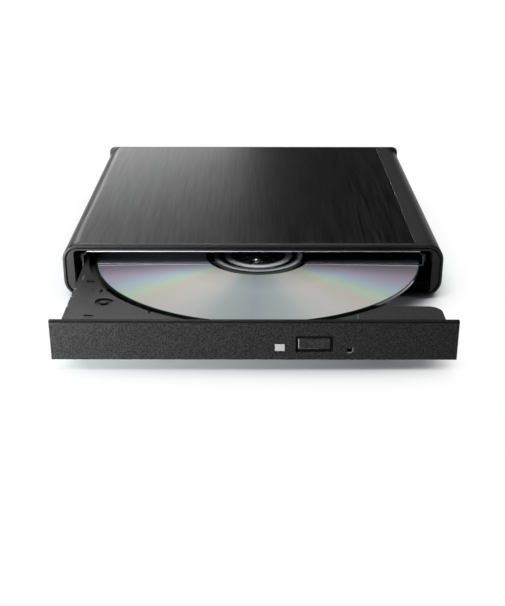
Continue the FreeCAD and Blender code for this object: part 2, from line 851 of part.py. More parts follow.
def disc_tray():
    """Moulded tray: a deck with a round well, cut away on the right where the disc overhangs."""
    body = make_body("disc_tray", along=tray_shift)
    outline = box(tray_left, tray_right, bezel_back, tray_back)
    extrude(body, "deck_block", "XY", floor_under, deck, outline)
    wall = s.tray_wall
    inside = box(tray_left + wall, tray_right - wall, bezel_back + wall, tray_back - wall)
    cut_out(body, "underside", "XY", floor_under, deck - wall, inside)
    well = (disc_x, disc_y, well_radius)
    cut_out(body, "disc_well", "XY", floor_under, deck, well)
    rim = (disc_x, disc_y, well_radius + s.well_wall)
    extrude(body, "well_bottom", "XY", floor_under, well_floor, rim)
    extrude(body, "well_side", "XY", well_floor, deck - wall, rim, well)
    beyond = well_radius + half_drive
    sides = [
        box(tray_right, beyond, -beyond, beyond),
        box(-beyond, tray_left, -beyond, beyond),
    ]
    cut_out(body, "clear_sides", "XY", floor_under, deck, *sides)
    ends = [
        box(-beyond, beyond, tray_back, beyond + tray_back),
        box(-beyond, beyond, bezel_back - beyond, bezel_back),
    ]
    cut_out(body, "clear_ends", "XY", floor_under, deck, *ends)
    stub = [
        (tray_right - wall * 4, bezel_back),
        (stub_right, bezel_back),
        (stub_right, stub_back, s.stub_radius),
        (tray_right - wall * 4, stub_back),
    ]
    extrude(body, "stub", "XY", deck - s.stub_height, deck, stub)
    cut_out(body, "stub_well", "XY", well_floor, deck, well)
    stub_hollow = box(tray_right + wall, stub_right - wall - 2, bezel_back + wall, stub_back - wall - 2)
    cut_out(body, "stub_hollow", "XY", deck - s.stub_height, deck - wall * 0.75, stub_hollow)
    front_wall = box(tray_left + wall, stub_right - wall, bezel_back, bezel_back + wall)
    extrude(body, "front_wall", "XY", s.tray_underside, floor_under, front_wall)
    extrude(
        body, "front_wall_top", "XY", floor_under, deck - wall,
        box(tray_right - wall, stub_right - wall, bezel_back, bezel_back + wall),
    )
    # side walls carry the tongues that run in the slide rails
    for side, (pan_wall, way) in RAIL_SIDES.items():
        inner = pan_wall + way * (tongue_reach + wall)
        face = pan_wall + way * tongue_reach
        tip = pan_wall + way * tongue_start
        x0, x1 = (face, inner) if way > 0 else (inner, face)
        long_wall = box(x0, x1, bezel_back, rail_back)
        extrude(body, f"{side}_wall", "XY", s.tray_underside, floor_under, long_wall)
        x0, x1 = (tip, face) if way > 0 else (face, tip)
        tongue = box(x0, x1, tongue_front, rail_back)
        extrude(body, f"{side}_tongue", "XY", tongue_low, tongue_high, tongue)
    extrude(
        body, "partition", "XY", s.tray_underside, floor_under,
        box(partition_x, partition_x + wall, bezel_back, tray_back),
    )
    extrude(
        body, "back_wall", "XY", s.tray_underside, floor_under,
        box(pan_left + tongue_reach, partition_x + wall, tray_back - wall, tray_back),
    )
    extrude(
        body, "plunger_bracket", "XY", s.tray_underside, floor_under,
        box(plunger_x - 3, plunger_x + 3, plunger_seat - wall, plunger_seat),
    )
    bore = screw_hole(plunger_x, s.plunger_z, s.plunger_radius + s.slide_gap)
    cut_out(body, "plunger_bores", "XZ", plunger_seat - wall, tray_back, bore)
    gap = s.fit_gap * 2
    window_low = s.button_height - s.button_tall / 2 - 1
    window_high = s.button_height + s.button_tall / 2 + 1
    button_window = box(
        button_x - s.button_width / 2 - 1, button_x + s.button_width / 2 + 1,
        window_low, window_high,
    )
    lens_window = box(
        lens_x - s.lens_width / 2 - gap, lens_x + s.lens_width / 2 + gap,
        s.lens_height - s.lens_tall / 2 - gap, s.lens_height + s.lens_tall / 2 + gap,
    )
    pin_window = screw_hole(pinhole_x, s.pinhole_height, s.pinhole_radius + gap, 8)
    cut_out(
        body, "front_windows", "XZ", bezel_back, bezel_back + wall, button_window, lens_window, pin_window,
    )
    reach = clip_half + s.fit_gap
    clip_windows = [
        box(x - reach, x + reach, clip_low - s.fit_gap, clip_low + s.clip_tall + s.fit_gap)
        for x in clip_places
    ]
    cut_out(body, "clip_windows", "XZ", bezel_back, bezel_back + wall, *clip_windows)
    # moulded marks of the deck: a screw recess, ejector slots and notches in the left edge
    recess = many_sided(deck_recess_x, deck_recess_y, 3.1, 24)
    island = many_sided(deck_recess_x, deck_recess_y, 1.3)
    cut_out(body, "deck_recess", "XY", deck - 0.7, deck, recess, island)
    slots = [
        box(tray_left + 9.3, tray_left + 10.1, bezel_back + 26.2, bezel_back + 29.2),
        box(tray_left + 27.7, tray_left + 28.5, bezel_back + 9.0, bezel_back + 11.6),
        box(tray_left + 3.5, tray_left + 6.3, bezel_back + 35.9, bezel_back + 36.8),
        box(tray_left + 6.7, tray_left + 9.9, bezel_back + 7.3, bezel_back + 8.3),
    ]
    cut_out(body, "deck_slots", "XY", deck - 0.7, deck, *slots)
    notches = [box(tray_left, tray_left + 0.8, bezel_back + y, bezel_back + y + 1.4) for y in (15, 23, 29)]
    cut_out(body, "edge_notches", "XY", deck - 1.6, deck, *notches)
    return body


plunger_seat = tray_back - 18.0
clip_places = (-half_drive + 14, -half_drive + 44, half_drive - 12)
clip_low = deck - 3.4
clip_half = 3.0
deck_recess_x = tray_left + 11.9
deck_recess_y = bezel_back + 18.9


def unit_body(name):
    """A body laid out from the spindle, with X along the way the lens travels."""
    return make_body(name, across=disc_x, along=disc_y + tray_shift, turn=s.travel_angle)


chassis_low = floor_under - 0.05 - s.chassis_sheet
chassis_high = floor_under - 0.05
rod_inner = s.lens_inner - 9.5
rod_outer = lens_outer + 6.3
lugs = ((12.0, -24.0), (lens_outer - 10, -24.0), (lens_outer - 28, 30.0))


def chassis_outline(inset):
    """House-shaped outline of the optical unit's plate."""
    return [
        (-20 + inset, -20.5 + inset),
        (lens_outer + 3.5 - inset, -20.5 + inset),
        (rod_outer - inset, -17.5 + inset),
        (rod_outer - inset, 19.5 - inset),
        (lens_outer - 1 - inset, 27 - inset),
        (-4 + inset, 27 - inset),
        (-20 + inset, 11 - inset),
    ]


def unit_chassis():
    """Pressed plate that carries spindle motor, guide rods and feed motor."""
    body = unit_body("unit_chassis")
    extrude(body, "plate", "XY", chassis_low, chassis_high, chassis_outline(0))
    for k, (u, v) in enumerate(lugs):
        extrude(body, f"lug_{k}", "XY", chassis_low, chassis_high, many_sided(u, v, 4.5, 16))
    window = box(s.lens_inner - 8, rod_outer - 2.3, -15.0, 15.0)
    cut_out(body, "lens_window", "XY", chassis_low, chassis_high, window)
    cut_out(body, "motor_hole", "XY", chassis_low, chassis_high, (0, 0, s.table_radius + 1.2))
    holes = [screw_hole(u, v, s.damper_bore + 0.05) for u, v in lugs]
    cut_out(body, "damper_holes", "XY", chassis_low, chassis_high, *holes)
    low = s.rod_height - 1.6
    for k, v in enumerate((-s.rod_offset, s.rod_offset)):
        ends = [
            box(rod_inner, rod_inner + 1.6, v - 2.0, v + 2.0),
            box(rod_outer - 1.8, rod_outer, v - 1.4, v + 1.4),
        ]
        extrude(body, f"rod_holders_{k}", "XY", low, chassis_low, *ends)
    seat = s.rod_radius + s.fit_gap * 0.2
    for k, v in enumerate((-s.rod_offset, s.rod_offset)):
        notch = box(v - seat, v + seat, s.rod_height - seat, s.rod_height + seat)
        cut_out(body, f"rod_seats_{k}", "YZ", rod_inner, rod_outer, notch)
    end = box(lens_outer + 1, lens_outer + 2.4, s.screw_offset - 1.8, s.screw_offset + 1.8)
    extrude(body, "screw_bearing", "XY", s.rod_height - 1.8, chassis_low, end)
    screw_bore = (s.screw_offset, s.rod_height, s.screw_radius + s.shaft_gap)
    cut_out(body, "screw_bore", "YZ", lens_outer + 1, lens_outer + 2.4, screw_bore)
    return body


lens_low = disc_under - 2.4


def unit_cover():
    """Thin trim plate in the well's floor, with the opening for turntable and lens."""
    body = unit_body("unit_cover")
    low = floor_under + s.fit_gap
    high = low + s.sheet_metal
    extrude(body, "trim", "XY", low, high, chassis_outline(3.2))
    cut_out(body, "table_hole", "XY", low, high, (0, 0, s.table_radius + 1.4))
    cut_out(body, "lens_slot", "XY", low, high, box(4.0, lens_outer + s.lens_radius + 0.3, -6.5, 6.5))
    return body


def unit_dampers():
    """Rubber bushes that hang the optical unit from the tray."""
    body_list = []
    for k, (u, v) in enumerate(lugs):
        x, y = on_table(u, v)
        tall = chassis_low - damper_low
        outer = prism(f"damper_{k}", x, y, damper_low, 3.4, tall, 16)
        bore = (s.damper_bore + 0.05) / math.cos(math.pi / 12)
        inner = prism(f"damper_bore_{k}", x, y, damper_low - 1, bore, tall + 2, 12)
        ring = doc.addObject("Part::Cut", f"damper_ring_{k}")
        ring.Base = outer
        ring.Tool = inner
        body_list.append(ring)
    return group("unit_dampers", body_list)


damper_low = chassis_low - 1.4


def on_table(u, v):
    """Where a place of the optical unit lies over the table at rest."""
    angle = math.radians(s.travel_angle)
    x = disc_x + u * math.cos(angle) - v * math.sin(angle)
    y = disc_y + tray_shift + u * math.sin(angle) + v * math.cos(angle)
    return x, y


def unit_screws():
    """Shouldered screws that keep the dampers on the tray's posts."""
    pieces = []
    for k, (u, v) in enumerate(lugs):
        x, y = on_table(u, v)
        head = 0.8
        pieces.append(prism(f"unit_screw_head_{k}", x, y, damper_low - head, 2.9, head, 16))
        pieces.append(prism(f"unit_screw_shank_{k}", x, y, damper_low, 0.7, 1.6))
    return group("unit_screws", pieces)


motor_plate = s.tray_underside + 0.3


def spindle_stator():
    """Base plate, bearing sleeve and nine-pole core of the spindle motor."""
    body = unit_body("spindle_stator")
    plate_top = motor_plate + 0.8
    corner = s.table_radius - 0.6
    base = [
        (corner * math.cos(math.radians(60 * k)), corner * math.sin(math.radians(60 * k))) for k in range(6)
    ]
    extrude(body, "base", "XY", motor_plate, plate_top, base)
    arm = extrude(body, "arm", "XY", motor_plate, plate_top, box(-18.0, -10.0, -2.0, 2.0))
    around(body, "arms", arm, 3)
    post = extrude(body, "post", "XY", plate_top, chassis_low, box(-18.0, -15.9, -1.6, 1.6))
    around(body, "posts", post, 3)
    sleeve_top = table_under - s.fit_gap
    turned(body, "sleeve", box(0, s.shaft_radius + 2.0, plate_top, sleeve_top))
    core_low = plate_top + 0.9
    core_high = core_low + 2.2
    extrude(body, "core", "XY", core_low, core_high, many_sided(0, 0, s.shaft_radius + 4.5, 9))
    core_radius = rotor_inside - s.magnet_gap
    tooth = extrude(
        body, "tooth", "XY", core_low, core_high,
        [
            (s.shaft_radius + 4.0, -0.8),
            (core_radius - 1.6, -0.8),
            (core_radius - 1.2, -2.6),
            (core_radius, -2.4),
            (core_radius, 2.4),
            (core_radius - 1.2, 2.6),
            (core_radius - 1.6, 0.8),
            (s.shaft_radius + 4.0, 0.8),
        ],
    )
    around(body, "teeth", tooth, 9)
    bore = box(0, s.shaft_radius + s.shaft_gap, motor_plate + 0.3, sleeve_top)
    turned(body, "bearing_bore", bore, cut=True)
    return body


table_top = disc_under - s.ring_rubber
table_under = table_top - s.rotor_wall
rotor_inside = s.table_radius - s.rotor_wall


def spindle_body(name):
    """A body that turns with the disc."""
    return make_body(name, across=disc_x, along=disc_y + tray_shift)


def turntable():
    """Rotor cup of the spindle motor, whose flat top carries the disc."""
    body = spindle_body("turntable")
    skirt_low = motor_plate + 1.3
    turned(
        body, "cup",
        [
            (0, table_under),
            (rotor_inside, table_under),
            (rotor_inside, skirt_low),
            (s.table_radius, skirt_low),
            (s.table_radius, table_top),
            (0, table_top),
        ],
    )
    turned(body, "shaft", box(0, s.shaft_radius, motor_plate + 0.4, table_under))
    return body


def friction_ring():
    """Rubber ring on the turntable, on which the disc rests."""
    body = spindle_body("friction_ring")
    outer = s.table_radius - s.rotor_wall * 0.5
    turned(body, "ring", box(outer - s.ring_rubber_width, outer, table_top, disc_under))
    return body


hub_radius = s.disc_bore - s.fit_gap
hub_top = s.disc_height + s.hub_rise
claw_count = 3


def clamp_hub():
    """Hub that centres the disc, with three windows for the claws."""
    body = spindle_body("clamp_hub")
    turned(
        body, "dome",
        [
            (0, table_top),
            (hub_radius, table_top),
            (hub_radius, s.disc_height - 0.2),
            (hub_radius - 1.2, hub_top),
            (0, hub_top),
        ],
    )
    window = cut_out(body, "claw_window", "XY", table_top, hub_top, box(3.6, hub_radius + 1, -1.7, 1.7))
    around(body, "claw_windows", window, claw_count)
    return body


def hub_claws():
    """Three sprung claws that hold the disc's edge down."""
    gap = s.fit_gap
    pieces = []
    for k in range(claw_count):
        turn = 360 / claw_count * k
        claw = doc.addObject("Part::Box", f"claw_{k}")
        bind(claw, "Length", hub_radius + 0.35 - 4.2)
        bind(claw, "Width", 3.4 - 2 * gap)
        bind(claw, "Height", 0.7)
        foot = doc.addObject("Part::Box", f"claw_foot_{k}")
        bind(foot, "Length", 1.6)
        bind(foot, "Width", 3.4 - 2 * gap)
        bind(foot, "Height", s.disc_height + 0.05 - table_top)
        for item, z in ((claw, s.disc_height + 0.05), (foot, table_top)):
            angle = math.radians(turn)
            side = 1.7 - gap
            x = disc_x + 4.2 * math.cos(angle) + side * math.sin(angle)
            y = disc_y + tray_shift + 4.2 * math.sin(angle) - side * math.cos(angle)
            bind(item, "Placement.Base.x", x)
            bind(item, "Placement.Base.y", y)
            bind(item, "Placement.Base.z", z)
            bind(item, "Placement.Rotation.Axis.z", 1)
            bind(item, "Placement.Rotation.Angle", turn)
        pieces += [claw, foot]
    return group("hub_claws", pieces)


def optical_disc():
    """A 120 mm disc, clamped on the hub."""
    body = spindle_body("optical_disc")
    turned(body, "disc", box(s.disc_bore, s.disc_radius, disc_under, s.disc_height))
    return body


def guide_rod(name, side):
    """Ground steel rod on which the pickup slides."""
    body = unit_body(name)
    bar = (side * s.rod_offset, s.rod_height, s.rod_radius)
    extrude(body, "rod", "YZ", rod_inner, rod_outer, bar)
    return body


def pickup_sled():
    """Die-cast sled with two bearings on the main rod, a shoe on the other and a nut on the screw."""
    body = unit_body("pickup_sled")
    near = s.lens_inner
    sled_top = chassis_low - 0.3
    low = s.tray_underside + 0.5
    extrude(body, "frame", "XY", low, sled_top, box(near - 8, near + 3.5, -15.0, 15.0))
    cut_out(body, "relief", "XY", low, low + 1.6, box(near - 6, near + 1.5, -12.0, 12.0))
    for name, v0, v1 in (("main_arm", -18.5, -14.0), ("far_arm", 14.0, 18.5)):
        arm = box(near - 7.5, near + 3.2, v0, v1)
        extrude(body, name, "XY", s.rod_height - 1.5, s.rod_height + 1.5, arm)
    reach = s.rod_radius + 0.7
    for name, v in (("main_sleeve", -s.rod_offset), ("shoe", s.rod_offset)):
        outline = box(v - reach, v + reach, s.rod_height - reach, s.rod_height + reach)
        extrude(body, name, "YZ", near - 7.5, near + 3.2, outline)
    nut_arm = box(near - 6.5, near - 1.0, 18.0, s.screw_offset + 2.0)
    extrude(body, "nut_arm", "XY", s.rod_height - 1.7, s.rod_height + 1.7, nut_arm)
    extrude(body, "lens_seat", "XY", sled_top, chassis_high, (near, 0, s.lens_radius + 0.9))
    bores = [
        (-s.rod_offset, s.rod_height, s.rod_radius + s.shaft_gap),
        (s.rod_offset, s.rod_height, s.rod_radius + s.shaft_gap),
        (s.screw_offset, s.rod_height, s.screw_radius + s.shaft_gap),
    ]
    cut_out(body, "bores", "YZ", near - 9, near + 4, *bores)
    cut_out(body, "lens_hole", "XY", lens_low, chassis_high, (near, 0, s.lens_radius))
    return body


def objective_lens():
    """Small aspheric lens in the sled, just under the disc."""
    body = make_body(
        "objective_lens",
        across=disc_x + s.lens_inner * math.cos(math.radians(s.travel_angle)),
        along=disc_y + tray_shift + s.lens_inner * math.sin(math.radians(s.travel_angle)),
    )
    low = lens_low
    turned(
        body, "lens",
        [
            (0, low),
            (s.lens_radius, low),
            (s.lens_radius, low + 1.0),
            (s.lens_radius * 0.45, low + 1.35),
            (0, low + 1.35),
        ],
    )
    return body


motor_end = 9.0


def feed_motor():
    """Small stepper motor that turns the lead screw."""
    body = unit_body("feed_motor")
    can = (s.screw_offset, s.rod_height, s.motor_radius)
    nose = many_sided(s.screw_offset, s.rod_height, s.motor_radius - 0.6, 16)
    extrude(body, "can", "YZ", -2.0, motor_end, can)
    extrude(body, "nose", "YZ", motor_end, motor_end + 0.6, nose)
    extrude(
        body, "terminals", "XY", s.rod_height - s.motor_radius * 0.6, s.rod_height + s.motor_radius * 0.6,
        box(1.0, 6.0, s.screw_offset + 1.0, s.screw_offset + s.motor_radius + 0.7),
    )
    cut_out(
        body, "shaft_bore", "YZ", motor_end - 3, motor_end + 0.6,
        (s.screw_offset, s.rod_height, s.screw_radius + s.shaft_gap),
    )
    return body


def lead_screw():
    """Screw that the feed motor turns and the sled's nut rides on."""
    body = unit_body("lead_screw")
    end = lens_outer + 2.2
    extrude(body, "shaft", "YZ", motor_end - 2.7, end, (s.screw_offset, s.rod_height, s.screw_radius))
    return body


def front_bezel():
    """Moulded front of the tray, with windows for button, light and release pin."""
    body = make_body("front_bezel", along=tray_shift)
    half = half_drive + s.bezel_overlap
    low = s.bezel_floor
    panel = box(s.bezel_offset - half, s.bezel_offset + half, low, low + s.bezel_height)
    extrude(body, "panel", "XZ", case_front, bezel_back, panel)

    def face_edges(edge):
        reach = edge.BoundBox
        return reach.YMax < case_front + 0.01

    soften(body, "face_edge", s.bezel_edge, face_edges)
    half_button = s.button_width / 2
    half_tall = s.button_tall / 2
    margin = s.recess_margin
    recess = box(
        button_x - half_button - margin, button_x + half_button + margin,
        s.button_height - half_tall - margin, s.button_height + half_tall + margin, 0.5,
    )
    cut_out(body, "button_recess", "XZ", case_front, case_front + s.recess_depth, recess)
    gap = s.fit_gap
    button = box(
        button_x - half_button - gap, button_x + half_button + gap,
        s.button_height - half_tall - gap, s.button_height + half_tall + gap, 0.5,
    )
    cut_out(body, "button_hole", "XZ", case_front, bezel_back, button)
    lens = box(
        lens_x - s.lens_width / 2, lens_x + s.lens_width / 2,
        s.lens_height - s.lens_tall / 2, s.lens_height + s.lens_tall / 2,
    )
    cut_out(body, "lens_hole", "XZ", case_front, bezel_back, lens)
    cut_out(
        body, "pinhole", "XZ", case_front, bezel_back,
        (pinhole_x, s.pinhole_height, s.pinhole_radius),
    )
    clips = [box(x - clip_half, x + clip_half, clip_low, clip_low + s.clip_tall) for x in clip_places]
    extrude(body, "clips", "XZ", bezel_back, bezel_back + s.tray_wall + 0.5, *clips)
    return body


def eject_button():
    """Eject button, kept behind the bezel by its flange."""
    body = make_body("eject_button", along=tray_shift)
    half_button = s.button_width / 2
    half_tall = s.button_tall / 2
    flange = 0.6
    face = box(
        button_x - half_button, button_x + half_button,
        s.button_height - half_tall, s.button_height + half_tall, 0.4,
    )
    extrude(body, "key", "XZ", case_front + 0.1, bezel_back + s.fit_gap, face)
    behind = box(
        button_x - half_button - flange, button_x + half_button + flange,
        tray_board_top + s.fit_gap, floor_under - s.fit_gap,
    )
    extrude(body, "flange", "XZ", bezel_back + s.fit_gap, bezel_back + s.fit_gap + 0.6, behind)
    stem = box(button_x - 1, button_x + 1, s.button_height - 1, s.button_height + 1)
    stem_front = bezel_back + s.fit_gap + 0.6
    extrude(body, "stem", "XZ", stem_front, switch_front - s.button_travel - s.fit_gap, stem)

    def face_edges(edge):
        reach = edge.BoundBox
        return reach.YMax < case_front + 0.11

    soften(body, "face_edge", 0.25, face_edges, "PartDesign::Chamfer")
    return body


switch_front = bezel_back + 2.6
tray_board_low = s.tray_underside + 0.4
tray_board_top = tray_board_low + 0.8


def status_lens():
    """Clear light guide for the activity light."""
    body = make_body("status_lens", along=tray_shift)
    guide = box(
        lens_x - s.lens_width / 2, lens_x + s.lens_width / 2,
        s.lens_height - s.lens_tall / 2, s.lens_height + s.lens_tall / 2,
    )
    extrude(body, "guide", "XZ", case_front + 0.05, bezel_back + s.tray_wall, guide)
    return body


def tray_board():
    """Small circuit board behind the bezel."""
    body = make_body("tray_board", along=tray_shift)
    front = bezel_back + s.tray_wall + 0.1
    outline = box(lens_x - 6.7, partition_x - 1.0, front, front + 9)
    extrude(body, "board", "XY", tray_board_low, tray_board_top, outline)
    light = box(lens_x - 1.2, lens_x + 1.2, front + 0.5, front + 2.5)
    extrude(body, "light", "XY", tray_board_top, s.lens_height + 0.9, light)
    return body


def eject_switch():
    """Push switch that the eject button works."""
    body = make_body("eject_switch", along=tray_shift)
    housing = box(button_x - 2.6, button_x + 2.6, switch_front + 0.6, switch_front + 4.2)
    extrude(body, "housing", "XY", tray_board_top, tray_board_top + 3.9, housing)
    tip = (button_x, s.button_height, 0.7)
    extrude(body, "tip", "XZ", switch_front, switch_front + 0.6, tip)
    return body


def tray_bottom():
    """Thin steel plate under the left part of the tray."""
    body = make_body("tray_bottom", along=tray_shift)
    left = pan_left + tongue_reach
    plate = box(left, partition_x + s.tray_wall, bezel_back, tray_back)
    extrude(body, "plate", "XY", s.tray_underside - 0.3, s.tray_underside, plate)
    return body


latch_y = drive_front + 16.0
pivot_y = latch_y - 7.5
lever_low = s.tray_underside + 0.6
lever_high = lever_low + 1.4


def latch_pin():
    """Fixed steel pin that the tray's hook catches when the tray is shut."""
    y = latch_y + case_shift
    base = cylinder("pin_base", latch_x, y, pan_floor, 1.6, 0.4)
    post = cylinder("pin_post", latch_x, y, pan_floor, s.pin_radius, lever_high + 0.6 - pan_floor)
    return group("latch_pin", [base, post])


def latch_hook():
    """Pivoting hook under the tray, with a tail behind the release hole."""
    body = make_body("latch_hook", across=pivot_x, along=pivot_y + tray_shift)
    pin_x = latch_x - pivot_x
    pin_y = latch_y - pivot_y
    clear = s.pin_radius + 0.3
    half_arm = 1.4
    arm = [
        (-half_arm, -half_arm),
        (half_arm, -half_arm, 1.0),
        (half_arm, pin_y + clear + 1.6),
        (pin_x, pin_y + clear + 1.6),
        (pin_x - 0.3, pin_y + clear),
        (pin_x + clear, pin_y + clear),
        (pin_x + clear, pin_y - clear),
        (-half_arm, half_arm),
    ]
    extrude(body, "arm", "XY", lever_low, lever_high, arm)
    tail_x = pinhole_x - pivot_x
    tail_y = bezel_back + s.tray_wall + 0.4 - pivot_y
    tail = [
        (1.0, -1.5),
        (-1.0, 1.5),
        (tail_x - 0.9, tail_y + 1.2),
        (tail_x - 0.9, tail_y),
        (tail_x + 1.2, tail_y),
        (tail_x + 2.2, tail_y + 1.2),
    ]
    extrude(body, "tail", "XY", lever_low, lever_high, tail)
    cut_out(body, "pivot_bore", "XY", lever_low, lever_high, (0, 0, s.pivot_radius + s.shaft_gap))
    return body


def latch_pivot():
    """Headed pin on which the hook turns."""
    y = pivot_y + tray_shift
    low = lever_low - s.fit_gap
    high = lever_high + s.fit_gap
    head = 0.4
    post = cylinder("pivot_post", pivot_x, y, low, s.pivot_radius, floor_under - low)
    disc = prism("pivot_head", pivot_x, y, low - head, 1.3, head, 12)
    shoulder = prism("pivot_shoulder", pivot_x, y, high, 1.3, floor_under - high, 12)
    return group("latch_pivot", [post, disc, shoulder])


def latch_solenoid():
    """Coil that draws the hook back to let the tray go."""
    body = make_body("latch_solenoid", along=tray_shift)
    left = partition_x + s.tray_wall + 0.4
    right = left + 5
    frame = box(left, right, pivot_y + 3, pivot_y + 13)
    extrude(body, "frame", "XY", lever_low, floor_under, frame)
    coil_gap = box(right - 1, right, pivot_y + 4.5, pivot_y + 11.5)
    cut_out(body, "coil_gap", "XY", lever_low + 0.8, floor_under - 0.8, coil_gap)
    return body


def eject_plunger():
    """Sprung rod that pushes the tray off the back wall when the hook lets go."""
    body = make_body("eject_plunger", across=plunger_x, along=tray_shift)
    rod = (0, s.plunger_z, s.plunger_radius)
    tip = tray_back + s.plunger_stroke + 0.4
    extrude(body, "rod", "XZ", plunger_seat - s.tray_wall - 2, tip, rod)
    pad = s.plunger_radius + 0.6
    extrude(body, "cap", "XZ", tip - 0.4, tip, box(-pad, pad, s.plunger_z - pad, s.plunger_z + pad))
    collar = tray_back - s.tray_wall - s.fit_gap
    stop = box(-pad, pad, s.plunger_z - pad, s.plunger_z + pad)
    extrude(body, "collar", "XZ", collar - 1, collar, stop)
    return body


def eject_spring():
    """Coil spring of square wire round the plunger, between the tray's bracket and the plunger's collar."""
    half_wire = 0.22
    mean = float(s.plunger_radius) + 0.17 + half_wire
    length = float(tray_back - s.tray_wall - s.fit_gap - 1 - plunger_seat) - 2 * half_wire - 0.1
    turns = 7
    steps = 8 * turns
    sections = []
    for step in range(steps + 1):
        angle = 2 * math.pi * turns * step / steps
        rise = length * step / steps
        way = Vector(math.cos(angle), math.sin(angle), 0)
        sections.append([
            way * (mean + out * half_wire) + Vector(0, 0, rise + up * half_wire)
            for out, up in ((-1, -1), (1, -1), (1, 1), (-1, 1))
        ])

    def flat(*corners):
        return Part.Face(Part.makePolygon([*corners, corners[0]]))

    faces = [flat(*sections[0]), flat(*sections[-1])]
    for near, far in zip(sections, sections[1:]):
        for k in range(4):
            after = (k + 1) % 4
            faces.append(flat(near[k], near[after], far[after]))
            faces.append(flat(near[k], far[after], far[k]))
    spring = doc.addObject("Part::Feature", "eject_spring")
    spring.Label = "eject_spring"
    spring.Shape = Part.makeSolid(Part.makeShell(faces))
    start = float(plunger_seat + tray_shift) + half_wire + 0.05
    along = FreeCAD.Rotation(Vector(1, 0, 0), -90)
    spring.Placement = FreeCAD.Placement(Vector(plunger_x, start, s.plunger_z), along)
    return spring


def flex_cable():
    """Flat ribbon from the drive's board to the tray, folded back on itself under the tray."""
    body = make_body("flex_cable", along=case_shift)
    thick = 0.16
    low = pan_floor + s.fit_gap
    high = tray_flex_z
    board_end = tray_back + 0.6
    tray_end = tray_back - 9 - s.tray_out
    travel = drive_length + s.travel_margin
    fold = (board_end + tray_end - travel * 1.08) / 2
    outer = (high - low) * 0.48
    inner = outer - thick
    side_view = [
        (board_end, low),
        (board_end, low + thick),
        (fold + thick, low + thick, inner),
        (fold + thick, high - thick, inner),
        (tray_end, high - thick),
        (tray_end, high),
        (fold, high, outer),
        (fold, low, outer),
    ]
    left = partition_x + s.tray_wall + 0.6
    extrude(body, "ribbon", "YZ", left, left + 4.2, side_view)
    return body


tray_flex_z = s.tray_underside + 1.9


def drive_board():
    """Narrow circuit board across the back of the pan."""
    body = make_body("drive_board", along=case_shift)
    front = tray_back + 0.7
    back = drive_back - s.sheet_metal - 0.1
    left = -half_drive + 12
    extrude(body, "board", "XY", board_low, board_top, box(left, pan_step - 3.2, front, back))
    legs = [box(x, x + 3, front + 1, back - 1) for x in (left + 2, 0.0, pan_step - 7)]
    extrude(body, "legs", "XY", pan_floor, board_low, *legs)
    chips = [box(-30.0, -22.0, front + 0.8, back - 0.8), box(-14.0, -8.0, front + 0.8, back - 0.8)]
    extrude(body, "chips", "XY", board_top, board_top + 0.9, *chips)
    return body


def rear_connector():
    """Drive's own connector, in the port of the back wall."""
    body = make_body("rear_connector", along=case_shift)
    front = tray_back + 1.6
    block = box(port_left, port_right, front, drive_back + 0.4)
    extrude(body, "block", "XY", board_top, board_top + 4.8, block)
    mouth = box(port_left + 1.5, port_right - 1.5, board_top + 1.2, board_top + 3.4)
    cut_out(body, "mouth", "XZ", drive_back - 3, drive_back + 0.4, mouth)
    return body


def bridge_board():
    """L-shaped board that turns the drive's signals into USB, in the space beside and behind the drive."""
    body = make_body("bridge_board", along=case_shift)
    right = half_case - s.case_wall - 1.6
    inner_back = case_back - s.cap_wall - 0.4
    spigot_front = shell_back - s.spigot_length - 0.3
    outline = [
        (step_x + 1.2, bridge_front),
        (right, bridge_front),
        (right, spigot_front),
        (half_case - s.case_wall - s.spigot_wall - 2.6, spigot_front),
        (half_case - s.case_wall - s.spigot_wall - 2.6, inner_back),
        (0, inner_back),
        (0, drive_back + 0.8),
        (step_x + 1.2, drive_back + 0.8),
    ]
    extrude(body, "board", "XY", bridge_floor, usb_floor, outline)
    chips = [
        box(step_x + 5, step_x + 12, bridge_front + 14, bridge_front + 21),
        box(step_x + 6, step_x + 10, bridge_front + 26, bridge_front + 30),
    ]
    extrude(body, "chips", "XY", usb_floor, usb_floor + 1.0, *chips)
    return body


def bridge_connector():
    """Plug on the bridge board that mates with the drive."""
    body = make_body("bridge_connector", along=case_shift)
    block = box(port_left, port_right, drive_back + 0.9, drive_back + 4.8)
    extrude(body, "block", "XY", usb_floor, board_top + 4.6, block)
    blade = box(port_left + 2, port_right - 2, board_top + 1.6, board_top + 3.0)
    extrude(body, "blade", "XZ", drive_back - 2.6, drive_back + 0.9, blade)
    return body


def usb_socket():
    """Folded steel shell of the data socket, with its tongue."""
    body = make_body("usb_socket", along=case_shift)
    half = s.usb_width / 2
    back = case_back - 0.5
    front = back - s.usb_depth
    low = usb_floor
    high = usb_floor + s.usb_height
    shell = [
        (usb_x - half + 1.0, low),
        (usb_x + half - 1.0, low),
        (usb_x + half, low + 1.0),
        (usb_x + half, high, 0.4),
        (usb_x - half, high, 0.4),
        (usb_x - half, low + 1.0),
    ]
    extrude(body, "shell", "XZ", front, back, shell)
    wall = 0.35
    inside = [
        (usb_x - half + 1.15, low + wall),
        (usb_x + half - 1.15, low + wall),
        (usb_x + half - wall, low + 1.15),
        (usb_x + half - wall, high - wall),
        (usb_x - half + wall, high - wall),
        (usb_x - half + wall, low + 1.15),
    ]
    cut_out(body, "mouth", "XZ", front + 1, back, inside)
    tongue = box(usb_x - half + 1.8, usb_x + half - 1.8, low + 1.5, low + 2.2)
    extrude(body, "tongue", "XZ", front + 0.5, back - 1.5, tongue)
    return body


